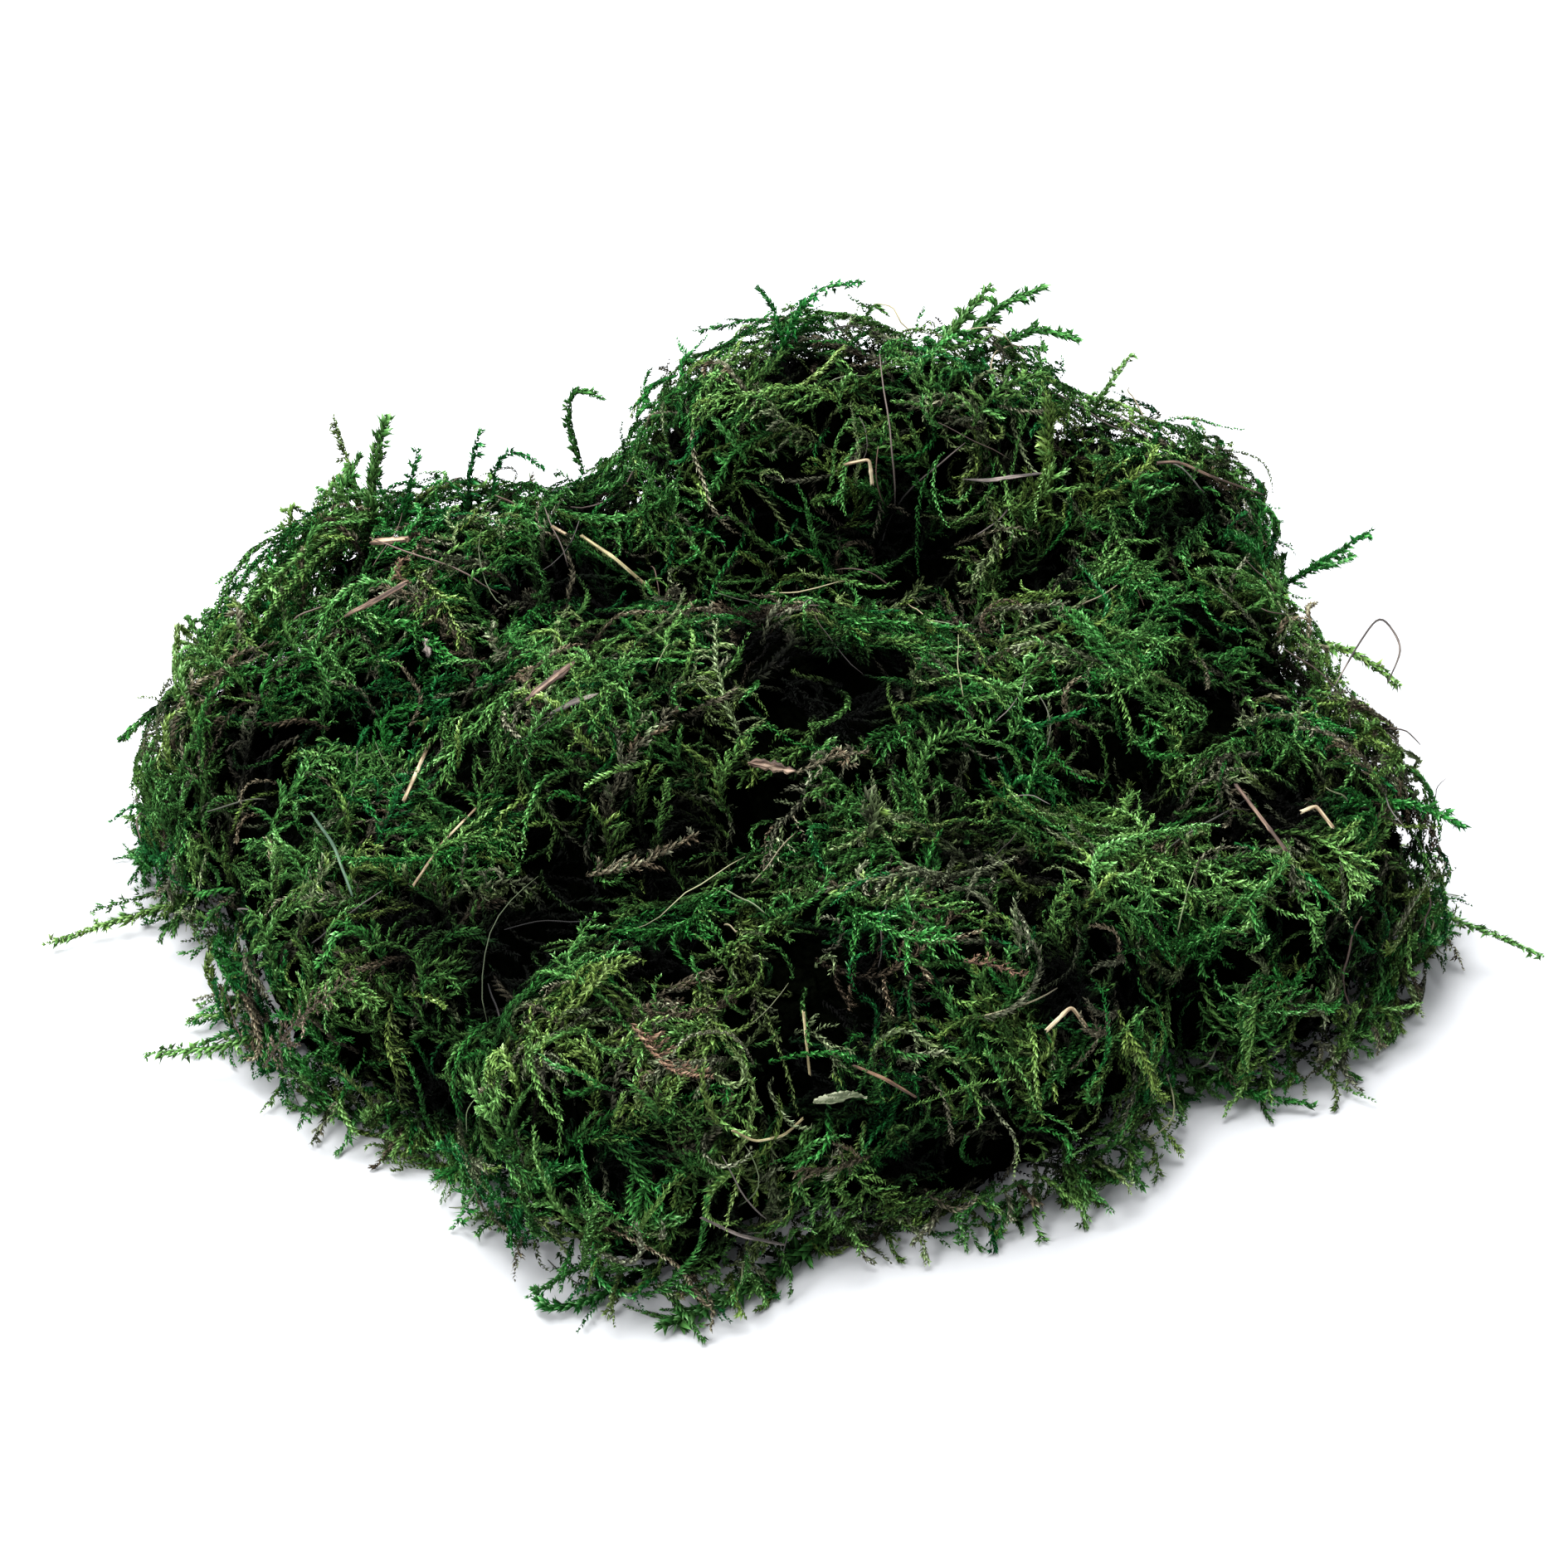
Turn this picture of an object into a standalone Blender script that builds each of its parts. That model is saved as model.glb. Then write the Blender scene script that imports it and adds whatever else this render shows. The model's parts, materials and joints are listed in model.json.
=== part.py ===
"""A clump of dried sheet moss: torn wads pressed together into a low heap, with the litter that
was gathered with them caught on top. Metres, +Z up. The heap rests on Z = 0, its long side runs
along X, and the origin is the middle of its footprint."""

from collections import namedtuple
from math import pi, radians, sin

import bmesh
import bpy
from mathutils import Matrix, Vector, noise
from mathutils.bvhtree import BVHTree

# Driving dimensions, in metres.
HEAP_LENGTH = 0.236  # the heap's long side, which the wads' sizes and every place follow
WAD_GAP = 0.0003  # clear space between two wads pressed together
LITTER_GAP = 0.0004  # clear space between a piece of litter and the moss under it
STRAW_RADIUS = 0.00035
NEEDLE_RADIUS = 0.0003
FIBRE_RADIUS = 0.00022

UNIT = HEAP_LENGTH / 236  # the layout below counts in these units, 1 mm at this heap length
SQUARENESS = 2.5  # exponent of a wad's outline: 2 is an ellipsoid, more is boxier
MEETING_DEPTH = 1.12  # two wads meet if they are equally deep at less than this
LUMP_HEIGHT = 1.6  # how far a wad's lumps stand out, in layout units
LUMP_PITCH = 17.0  # distance between lumps, in layout units
WAD_SEGMENTS = 22
WAD_RINGS = 13

# How closely things are worked out: down to the plane grip in layout units, then in metres.
PARTING_HALVINGS = 40  # times the line between two wads' centres is halved to find their parting
PARTING_STEP = 0.5  # how far on each side of the parting its slope is felt
SLIVER = 1e-3  # edges shorter than this are dissolved
PLANE_GRIP = 1e-4  # corners this near a cutting plane count as on it
SAMPLE_SPACING = 0.0008  # between the points of a stem that are kept clear of the moss
RESTING_TRIES = 60
RESTING_ERROR = 2e-5
LIFT = 0.0001  # how far a piece is raised at a time if it still touches

MOSS_ROUGHNESS = 0.9
LITTER_ROUGHNESS = 0.8
LEAF_ROUGHNESS = 0.7

EMERALD = (0.022, 0.105, 0.030)
FOREST = (0.018, 0.062, 0.018)
OLIVE = (0.060, 0.082, 0.022)
BROWN_GREEN = (0.058, 0.058, 0.026)
TWIG_BROWN = (0.155, 0.098, 0.060)
BARK_GREY = (0.120, 0.100, 0.082)
STRAW_BUFF = (0.480, 0.380, 0.220)
RUSSET = (0.190, 0.085, 0.035)
LEAF_BUFF = (0.330, 0.330, 0.200)
GREY_GREEN = (0.105, 0.140, 0.105)

Wad = namedtuple("Wad", "name centre radii turn colour")

# Centre and radii in layout units; turn in degrees about +Z.
WADS = (
    Wad("front_corner_wad", (-21, -76, 12), (31, 30, 32), -38, FOREST),
    Wad("front_wad", (22, -56, 15), (46, 36, 34), 18, FOREST),
    Wad("front_left_wad", (-60, -38, 12), (40, 30, 30), -38, OLIVE),
    Wad("left_wad", (-85, 5, 11), (30, 35, 34), 22, EMERALD),
    Wad("left_back_wad", (-56, 40, 20), (40, 36, 34), 10, EMERALD),
    Wad("right_wad", (85, -20, 11), (28, 38, 35), -32, FOREST),
    Wad("right_back_wad", (64, 16, 20), (38, 36, 32), 0, FOREST),
    Wad("back_right_wad", (62, 60, 24), (34, 30, 36), -20, EMERALD),
    Wad("back_wad", (5, 58, 26), (48, 34, 42), 0, OLIVE),
    Wad("middle_wad", (-10, -8, 24), (56, 34, 36), 5, BROWN_GREEN),
    Wad("crown_wad", (15, 62, 50), (45, 26, 28), -4, EMERALD),
)

Stem = namedtuple("Stem", "name route radii colour")

# Each stem's route over the moss, root to tip, in layout units, and its radius in metres at each
# point or all along. A stem is moved as one piece until it just rests on the wads below it.
STEMS = (
    Stem(
        "thick_twig",
        ((-43, -18, 55), (-39, -15, 57), (-35, -11, 58)),
        (0.0008, 0.001, 0.0008),
        TWIG_BROWN,
    ),
    Stem(
        "split_twig",
        ((-39, -22, 55.5), (-35.5, -21, 57), (-31, -19, 57.5)),
        (0.0005, 0.0007, 0.0004),
        BARK_GREY,
    ),
    Stem(
        "long_twig",
        ((-80, 21, 42), (-76, 19.5, 46), (-71, 19, 49), (-66, 20, 52)),
        (0.0003, 0.0006, 0.0008, 0.0009),
        TWIG_BROWN,
    ),
    Stem("stick_stub", ((-74, 34.5, 52), (-67.5, 32.5, 54)), (0.0007,), STRAW_BUFF),
    Stem(
        "curled_strip",
        ((-67, 28.5, 53), (-69, 26, 53), (-68.5, 23, 52), (-66, 21.5, 52)),
        (0.0004,),
        RUSSET,
    ),
    Stem(
        "knobbly_twig",
        ((32, 38, 64), (36, 39, 63), (41, 39.5, 63.5), (46.5, 41.5, 63)),
        (0.0003, 0.0006, 0.0004, 0.0005),
        BARK_GREY,
    ),
    Stem("leaning_straw", ((-64, -28, 42), (-60.5, -12, 43)), (STRAW_RADIUS,), STRAW_BUFF),
    Stem(
        "left_straw",
        ((-61, -50, 41), (-57, -41, 42.5), (-52, -29.5, 41)),
        (FIBRE_RADIUS,),
        STRAW_BUFF,
    ),
    Stem("long_straw", ((-37, 37, 52), (-31, 33, 50), (-25, 31, 45)), (STRAW_RADIUS,), LEAF_BUFF),
    Stem("short_straw", ((-42, 37, 54), (-39.5, 36, 53)), (STRAW_RADIUS,), STRAW_BUFF),
    Stem(
        "bent_straw",
        ((11, 40, 66), (15.5, 39.5, 67.5), (16, 38, 63)),
        (STRAW_RADIUS,),
        STRAW_BUFF,
    ),
    Stem("right_straw", ((76, -28, 47), (83, -43, 45)), (STRAW_RADIUS,), TWIG_BROWN),
    Stem(
        "hooked_straw",
        ((87, -35, 47), (89.5, -34, 47.5), (92, -38, 46)),
        (STRAW_RADIUS,),
        STRAW_BUFF,
    ),
    Stem(
        "forked_straw",
        ((40.5, -78, 34), (44.5, -75, 36.5), (47, -76, 33)),
        (STRAW_RADIUS,),
        STRAW_BUFF,
    ),
    Stem(
        "grass_culm",
        ((2.5, -80, 39), (3, -83, 34.5), (3.5, -86, 31)),
        (FIBRE_RADIUS,),
        LEAF_BUFF,
    ),
    Stem(
        "curved_stalk",
        ((-9, -99, 33), (-5.5, -98.5, 30), (-1, -95, 28), (2, -91, 28)),
        (FIBRE_RADIUS,),
        LEAF_BUFF,
    ),
    Stem(
        "green_needle",
        ((-80, -29, 40), (-75, -40, 42), (-71, -51, 40)),
        (NEEDLE_RADIUS,),
        GREY_GREEN,
    ),
    Stem(
        "pale_needle",
        ((-14, -106, 22), (-8, -104, 16), (-1, -99, 9)),
        (NEEDLE_RADIUS,),
        BARK_GREY,
    ),
    Stem("red_needle", ((10, -84, 35), (15, -85.5, 33.5), (20, -86, 30)), (NEEDLE_RADIUS,), RUSSET),
    Stem(
        "root_fibre",
        ((68, 49, 59.5), (72, 50.5, 59), (78, 50, 56), (84, 51, 53), (88.5, 53, 50)),
        (0.0005, 0.0003, 0.00025, 0.0002, 0.0002),
        TWIG_BROWN,
    ),
    Stem(
        "root_loop",
        ((99, 9, 20), (103, 13, 26), (107, 17, 30), (111, 12, 26), (108, 8, 21)),
        (FIBRE_RADIUS,),
        BARK_GREY,
    ),
    Stem(
        "brown_frond",
        ((-87, -58, 9), (-84, -59, 15), (-80, -61, 22), (-75, -62, 28), (-68.5, -62, 34)),
        (0.0004, 0.0009, 0.0012, 0.0012, 0.0006),
        TWIG_BROWN,
    ),
    Stem(
        "curled_frond",
        ((-24, -87, 44), (-21.5, -91, 43), (-18, -94.5, 41), (-14.5, -95, 40), (-11, -94, 39)),
        (0.0006, 0.001, 0.0012, 0.0011, 0.0007),
        RUSSET,
    ),
    Stem(
        "rust_sprig",
        ((28, -73.5, 45), (32.5, -73.5, 44), (38, -74, 42)),
        (0.0005, 0.001, 0.0006),
        RUSSET,
    ),
)

Chip = namedtuple("Chip", "name place size turn colour")

# Place in layout units, size in metres, turn in degrees about +Z.
CHIPS = (
    Chip("bark_chip", (-63, 11, 46), (0.0016, 0.004, 0.0009), 10, BARK_GREY),
    Chip("bark_flake", (-2, -32.5, 53), (0.0078, 0.0024, 0.0008), -8, TWIG_BROWN),
)

CHIP_TAPER = 0.6  # the narrow end's width over the wide end's
CHIP_KNOCK = 0.3  # how much of its thickness a chip's knocked-off edges take

LEAF_ROUTE = ((4.5, -88, 30), (7, -88, 31), (10, -88, 32), (13.2, -88, 31))
LEAF_WIDTH = 0.0022
LEAF_THICKNESS = 0.0003
LEAF_FOOT = 0.25  # the width where it was torn off, over the full width
LEAF_SWELL = 1.15  # above 1, the full width lies nearer the foot than the tip
LEAF_TILT = (0, 0.35, 0.94)  # the way its width points, nearly on edge


def unit_power(value, power):
    return abs(value) ** power * (1 if value > 0 else -1)


def wad_frame(wad):
    """The matrix from a wad's own axes to the heap's layout."""
    return Matrix.Translation(wad.centre) @ Matrix.Rotation(radians(wad.turn), 4, "Z")


def depth_in(wad, point):
    """0 at the wad's centre, 1 on its outline, and more outside it."""
    own = wad_frame(wad).inverted() @ point
    shares = [abs(c / r) ** SQUARENESS for c, r in zip(own, wad.radii)]
    return sum(shares) ** (1 / SQUARENESS)


def parting(wad, other):
    """Point and normal of the plane that parts two wads where both are equally deep, or None
    when they don't meet."""
    start, end = Vector(wad.centre), Vector(other.centre)

    def lead(point):
        return depth_in(wad, point) - depth_in(other, point)

    low, high = 0.0, 1.0
    for _ in range(PARTING_HALVINGS):
        middle = (low + high) / 2
        if lead(start.lerp(end, middle)) < 0:
            low = middle
        else:
            high = middle
    point = start.lerp(end, low)
    if depth_in(wad, point) > MEETING_DEPTH:
        return None
    axes = [axis * PARTING_STEP for axis in Matrix.Identity(3)]
    slope = Vector([lead(point + axis) - lead(point - axis) for axis in axes])
    return point, slope.normalized()


def cut_off(mesh, point, normal):
    """Cuts away what lies beyond a plane and closes the cut with one flat face."""
    everything = mesh.verts[:] + mesh.edges[:] + mesh.faces[:]
    cut = bmesh.ops.bisect_plane(
        mesh, geom=everything, dist=PLANE_GRIP, plane_co=point, plane_no=normal, clear_outer=True
    )
    rim = [item for item in cut["geom_cut"] if isinstance(item, bmesh.types.BMEdge)]
    if rim:
        bmesh.ops.contextual_create(mesh, geom=rim)


def shape_wad(wad):
    """One lumpy wad in layout units, cut flat below and where its neighbours press on it."""
    mesh = bmesh.new()
    bmesh.ops.create_uvsphere(
        mesh, u_segments=WAD_SEGMENTS, v_segments=WAD_RINGS, radius=1
    )
    frame = wad_frame(wad)
    for vert in mesh.verts:
        squared = [unit_power(c, 2 / SQUARENESS) * r for c, r in zip(vert.co, wad.radii)]
        place = frame @ Vector(squared)
        outward = (place - Vector(wad.centre)).normalized()
        lump = LUMP_HEIGHT * noise.noise(place / LUMP_PITCH)
        vert.co = place + outward * lump
    cut_off(mesh, Vector((0, 0, 0)), Vector((0, 0, -1)))
    half_gap = WAD_GAP / UNIT / 2
    for other in WADS:
        if other is wad:
            continue
        plane = parting(wad, other)
        if plane:
            point, normal = plane
            cut_off(mesh, point - normal * half_gap, normal)
    bmesh.ops.triangulate(mesh, faces=mesh.faces[:])
    bmesh.ops.dissolve_degenerate(mesh, dist=SLIVER, edges=mesh.edges[:])
    bmesh.ops.triangulate(mesh, faces=mesh.faces[:])
    bmesh.ops.recalc_face_normals(mesh, faces=mesh.faces[:])
    return mesh


def along(route, radii):
    """Closely spaced points along a route, each with its radius."""
    samples = []
    for i, (start, end) in enumerate(zip(route, route[1:])):
        steps = max(1, round((end - start).length / SAMPLE_SPACING))
        for step in range(steps + 1):
            share = step / steps
            radius = radii[i] * (1 - share) + radii[i + 1] * share
            samples.append((start.lerp(end, share), radius))
    return samples


def tightest(surface, samples, move):
    """The least room that any of a moved piece's points has to the surface, and the surface's
    normal there."""
    rooms = []
    for point, radius in samples:
        near, normal, _, _ = surface.find_nearest(point + move)
        rooms.append(((point + move - near).dot(normal) - radius - LITTER_GAP, normal))
    return min(rooms, key=lambda room: room[0])


def rest_on(surface, samples):
    """How far to move a rigid piece, given as points with radii, so that it just rests on the
    surface: out along the normal where it sinks in, and back down where it floats."""
    move = Vector()
    for _ in range(RESTING_TRIES):
        room, normal = tightest(surface, samples, move)
        if abs(room) < RESTING_ERROR:
            break
        move -= normal * room
    while tightest(surface, samples, move)[0] < 0:
        move.z += LIFT
    return move


def in_metres(route):
    return [Vector(point) * UNIT for point in route]


def shape_stem(stem, surface):
    """A straw, twig or fibre: a round tube through its route, laid on the moss."""
    route = in_metres(stem.route)
    radii = stem.radii * len(route) if len(stem.radii) == 1 else stem.radii
    move = rest_on(surface, along(route, radii))
    curve = bpy.data.curves.new(stem.name, "CURVE")
    curve.dimensions = "3D"
    curve.bevel_depth = 1
    curve.bevel_resolution = 1
    curve.use_fill_caps = True
    spline = curve.splines.new("POLY")
    spline.points.add(len(route) - 1)
    for point, place, radius in zip(spline.points, route, radii):
        point.co = (*(place + move), 1)
        point.radius = radius
    return curve


def shape_chip(chip, surface):
    """A flat splinter, narrower at one end, with its corners knocked off."""
    mesh = bmesh.new()
    bmesh.ops.create_cube(mesh, size=1)
    for vert in mesh.verts:
        vert.co.y *= 1 if vert.co.x < 0 else CHIP_TAPER
    bmesh.ops.scale(mesh, vec=chip.size, verts=mesh.verts[:])
    knock = chip.size[2] * CHIP_KNOCK
    bmesh.ops.bevel(mesh, geom=mesh.edges[:], offset=knock, segments=1, affect="EDGES")
    place = Vector(chip.place) * UNIT
    near, normal, _, _ = surface.find_nearest(place)
    tilt = Vector((0, 0, 1)).rotation_difference(normal).to_matrix().to_4x4()
    turn = Matrix.Rotation(radians(chip.turn), 4, "Z")
    bmesh.ops.transform(mesh, matrix=Matrix.Translation(near) @ tilt @ turn, verts=mesh.verts[:])
    move = rest_on(surface, [(vert.co.copy(), 0) for vert in mesh.verts])
    bmesh.ops.translate(mesh, vec=move, verts=mesh.verts[:])
    data = bpy.data.meshes.new(chip.name)
    mesh.to_mesh(data)
    mesh.free()
    return data


def shape_leaf(surface):
    """The dry grass blade: a narrow strip that widens, narrows to a point and lies on edge."""
    route = in_metres(LEAF_ROUTE)
    mesh = bmesh.new()
    bmesh.ops.create_grid(mesh, x_segments=len(route) * 2, y_segments=2, size=0.5)
    for vert in mesh.verts:
        share = vert.co.x + 0.5
        at = share * (len(route) - 1)
        i = min(int(at), len(route) - 2)
        middle = route[i].lerp(route[i + 1], at - i)
        swell = sin(pi * min(share * LEAF_SWELL, 1))
        width = LEAF_WIDTH * (LEAF_FOOT + (1 - LEAF_FOOT) * swell)
        vert.co = middle + Vector(LEAF_TILT) * vert.co.y * width
    samples = [(vert.co.copy(), LEAF_THICKNESS) for vert in mesh.verts]
    bmesh.ops.translate(mesh, vec=rest_on(surface, samples), verts=mesh.verts[:])
    data = bpy.data.meshes.new("grass_leaf")
    mesh.to_mesh(data)
    mesh.free()
    return data


def finish(name, colour, roughness):
    """A plain Principled material named for its piece."""
    material = bpy.data.materials.new(name)
    material.use_nodes = True
    shader = material.node_tree.nodes["Principled BSDF"]
    shader.inputs["Base Color"].default_value = (*colour, 1)
    shader.inputs["Roughness"].default_value = roughness
    shader.inputs["Metallic"].default_value = 0
    return material


def add_object(name, data, collection, parent, colour, roughness):
    data.materials.append(finish(name + "_finish", colour, roughness))
    thing = bpy.data.objects.new(name, data)
    collection.objects.link(thing)
    thing.parent = parent
    return thing


def surface_of(collection):
    """One search tree over every wad's faces."""
    corners, faces = [], []
    for wad in collection.objects:
        if wad.type == "MESH":
            first = len(corners)
            corners += [vert.co.copy() for vert in wad.data.vertices]
            faces += [[first + i for i in face.vertices] for face in wad.data.polygons]
    return BVHTree.FromPolygons(corners, faces)


def centre_footprint(collection, parent):
    """Moves the empty that carries every piece, so that the heap's footprint is centred."""
    bpy.context.view_layer.update()
    graph = bpy.context.evaluated_depsgraph_get()
    corners = []
    for thing in collection.objects:
        if thing.type != "EMPTY":
            shape = thing.evaluated_get(graph)
            baked = shape.to_mesh()
            corners += [vert.co.copy() for vert in baked.vertices]
            shape.to_mesh_clear()
    middle = [(min(c[i] for c in corners) + max(c[i] for c in corners)) / 2 for i in (0, 1)]
    parent.location = (-middle[0], -middle[1], 0)


def main():
    for old in list(bpy.data.objects):
        bpy.data.objects.remove(old)
    heap = bpy.data.collections.new("moss_clump")
    bpy.context.scene.collection.children.link(heap)
    centre = bpy.data.objects.new("heap_centre", None)
    heap.objects.link(centre)
    for wad in WADS:
        mesh = shape_wad(wad)
        bmesh.ops.scale(mesh, vec=(UNIT, UNIT, UNIT), verts=mesh.verts[:])
        data = bpy.data.meshes.new(wad.name)
        mesh.to_mesh(data)
        mesh.free()
        add_object(wad.name, data, heap, centre, wad.colour, MOSS_ROUGHNESS)
    surface = surface_of(heap)
    for pieces, shape in ((STEMS, shape_stem), (CHIPS, shape_chip)):
        for piece in pieces:
            data = shape(piece, surface)
            add_object(piece.name, data, heap, centre, piece.colour, LITTER_ROUGHNESS)
    data = shape_leaf(surface)
    leaf = add_object("grass_leaf", data, heap, centre, LEAF_BUFF, LEAF_ROUGHNESS)
    sheet = leaf.modifiers.new("thickness", "SOLIDIFY")
    sheet.thickness = LEAF_THICKNESS
    sheet.offset = 0
    centre_footprint(heap, centre)


if __name__ == "__main__":
    main()
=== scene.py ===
"""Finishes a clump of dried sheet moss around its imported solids: thousands of leafy shoots grown
over torn wads of moss, the litter caught in them, and a plain studio. Metres, +Z up."""

import math
from itertools import product

import bpy
import numpy as np
from bpy.props import FloatProperty, FloatVectorProperty, IntProperty, PointerProperty
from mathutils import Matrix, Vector, noise
from mathutils.bvhtree import BVHTree
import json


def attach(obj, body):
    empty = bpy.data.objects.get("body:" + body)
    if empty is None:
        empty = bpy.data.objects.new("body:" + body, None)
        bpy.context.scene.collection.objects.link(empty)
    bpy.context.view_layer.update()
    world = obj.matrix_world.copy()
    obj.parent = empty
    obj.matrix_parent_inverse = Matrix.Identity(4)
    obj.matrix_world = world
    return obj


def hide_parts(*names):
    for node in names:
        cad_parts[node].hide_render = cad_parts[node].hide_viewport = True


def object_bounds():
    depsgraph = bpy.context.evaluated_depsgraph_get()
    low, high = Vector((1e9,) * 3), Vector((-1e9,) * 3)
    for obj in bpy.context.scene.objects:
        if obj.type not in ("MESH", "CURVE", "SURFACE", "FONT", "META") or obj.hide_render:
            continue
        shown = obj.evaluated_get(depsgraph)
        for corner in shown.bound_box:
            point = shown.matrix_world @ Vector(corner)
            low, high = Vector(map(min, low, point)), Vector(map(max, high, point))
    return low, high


bl_info = {
    "name": "Sheet Moss Clump",
    "version": (1, 0, 0),
    "blender": (4, 5, 0),
    "location": "View3D > Sidebar > Moss",
    "description": "Grows a heap of dried sheet moss with the litter that is caught in it",
    "category": "Add Mesh",
}

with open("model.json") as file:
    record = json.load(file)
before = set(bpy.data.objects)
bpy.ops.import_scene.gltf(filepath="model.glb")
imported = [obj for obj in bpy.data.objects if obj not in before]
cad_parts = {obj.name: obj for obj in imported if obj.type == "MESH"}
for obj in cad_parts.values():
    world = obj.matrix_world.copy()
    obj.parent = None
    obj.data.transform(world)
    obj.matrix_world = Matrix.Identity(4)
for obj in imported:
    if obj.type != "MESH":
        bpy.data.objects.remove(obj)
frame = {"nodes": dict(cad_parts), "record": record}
CAD_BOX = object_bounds()

MM = 0.001
WADS = sorted(name for name in frame["nodes"] if name.endswith("_wad"))
SLOTS = {part["node"]: part["material_slot"] for part in frame["record"]["subparts"]}

FLOOR_GAP = 0.15 * MM
LOWEST_STEM = 0.9 * MM

# Hollows in the heap, dark from real shade and from painted shade (light_at): where each opens, how far it
# reaches and how deep it is, in mm.
HOLLOWS = (
    ((-60, -49, 39), 9, 12),
    ((-44, -52, 36), 11, 13),
    ((-35, -40, 37), 8, 9),
    ((8, -3, 59), 11, 12),
    ((21, 44, 54), 9, 8),
    ((67, 47, 52), 8, 9),
    ((87, -22, 46), 9, 10),
    ((-60, -64, 15), 8, 10),
    ((44, -65, 40), 7, 8),
    ((-36, 34, 50), 11, 9),
    ((-20, -31, 43), 9, 11),
    ((-94, -4, 42), 8, 10),
    ((-8, -95, 16), 6, 7),
    ((30, -36, 49), 7, 6),
    ((-95, 23, 43), 7, 9),
    ((-111, 20, 37), 9, 13),
    ((-102, 44, 42), 9, 13),
)

# Sprigs that stand clear of the heap: the points of each, in mm, its place in the palette, how
# long its branchlets are in mm and how thick it is.
STRAYS = (
    ([(-96, 2, 8), (-109, -2, 5), (-122, -6, 3), (-132, -10, 2)], 0.62, 3.5, 0.9),
    ([(-102, 6, 5), (-116, 2, 3), (-125, -1, 2)], 0.45, 2.5, 0.7),
    ([(-82, -38, 10), (-96, -43, 7), (-110, -40, 3)], 0.50, 2.5, 0.9),
    ([(-77, 58, 42), (-80, 66, 50), (-84, 74, 60)], 0.72, 2.0, 0.8),
    ([(-75, 52, 44), (-76, 58, 55), (-73, 66, 65)], 0.45, 3.0, 1.3),
    ([(-81, 50, 40), (-83, 58, 50), (-78, 64, 58)], 0.40, 3.0, 1.2),
    ([(-71, 53, 46), (-69, 57, 54), (-67, 61, 61)], 0.10, 1.5, 0.8),
    ([(-72, 56, 50), (-75, 59, 56), (-76, 61, 59)], 0.10, 1.0, 0.7),
    ([(-58, 56, 48), (-58, 60, 55), (-56, 66, 62)], 0.05, 1.0, 0.8),
    ([(-54, 57, 49), (-53, 62, 58), (-49, 62, 60), (-44, 61, 56)], 0.05, 1.0, 0.7),
    ([(-38, 78, 44), (-41, 84, 53), (-40, 87, 58), (-34, 85, 56)], 0.35, 1.5, 0.9),
    ([(26, 72, 72), (33, 76, 80), (38, 79, 85)], 0.45, 2.5, 1.1),
    ([(38, 78, 72), (47, 80, 75), (55, 79, 73)], 0.30, 3.0, 1.1),
    ([(32, 78, 72), (40, 82, 79), (48, 83, 82)], 0.35, 3.0, 1.1),
    ([(-2, 71, 70), (2, 77, 80), (7, 80, 84), (15, 80, 85)], 0.08, 2.0, 0.8),
    ([(0, 74, 75), (-2, 78, 81), (-5, 80, 84)], 0.10, 1.5, 0.7),
    ([(88, 58, 28), (100, 62, 34), (111, 67, 39)], 0.15, 2.0, 0.9),
    ([(98, 62, 33), (105, 66, 32), (109, 70, 31)], 0.20, 1.5, 0.8),
    ([(110, -10, 12), (122, -14, 9), (134, -17, 5)], 0.45, 2.0, 0.8),
    ([(48, 47, 56), (48, 52, 65), (48, 58, 74)], 0.66, 2.5, 1.2),
    ([(-20, -90, 3), (-30, -97, 2), (-38, -100, 2), (-40, -95, 3)], 0.20, 1.5, 1.0),
    ([(10, -80, 3), (0, -90, 2), (-10, -98, 2), (-20, -103, 2)], 0.35, 2.5, 1.5),
    ([(56, 80, 52), (61, 85, 59), (66, 91, 63)], 0.55, 1.5, 0.8),
    ([(68, -46, 5), (79, -50, 3), (90, -52, 2)], 0.20, 2.0, 0.8),
    ([(100, -14, 38), (109, -17, 39), (116, -19, 36)], 0.15, 2.5, 1.0),
    ([(-104, 26, 32), (-112, 20, 33), (-119, 14, 29)], 0.30, 2.5, 1.0),
    ([(52, 92, 48), (46, 102, 44), (40, 108, 38)], 0.25, 2.5, 1.0),
    ([(-58, 84, 30), (-64, 94, 26), (-68, 103, 18)], 0.50, 2.5, 1.0),
    ([(94, 44, 30), (106, 46, 26), (115, 43, 20)], 0.60, 2.5, 1.0),
    ([(-33, -37, 40), (-24, -37, 42), (-14, -33, 46)], 0.97, 4.5, 0.8),
    ([(2, -26, 53), (8, -24, 55), (14, -24, 56)], 0.96, 3.5, 0.7),
    ([(14, -37, 48), (15, -35, 52), (14, -33, 54)], 0.80, 3.0, 1.3),
)

# The line of the thin, see-through rim at the heap's upper left, in mm.
LACE = ((-106, 8, 38), (-102, 20, 43), (-96, 34, 46), (-89, 48, 48), (-80, 58, 49))


# Selecting, applying and reading, as every maker below does


def pick(*things):
    """Selects only these objects, the first of them active."""
    bpy.ops.object.select_all(action="DESELECT")
    for thing in things:
        thing.select_set(True)
    bpy.context.view_layer.objects.active = things[0]


def apply_modifier(thing, kind, **settings):
    pick(thing)
    modifier = thing.modifiers.new(kind.title(), kind)
    for name, value in settings.items():
        setattr(modifier, name, value)
    bpy.ops.object.modifier_apply(modifier=modifier.name)


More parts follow.
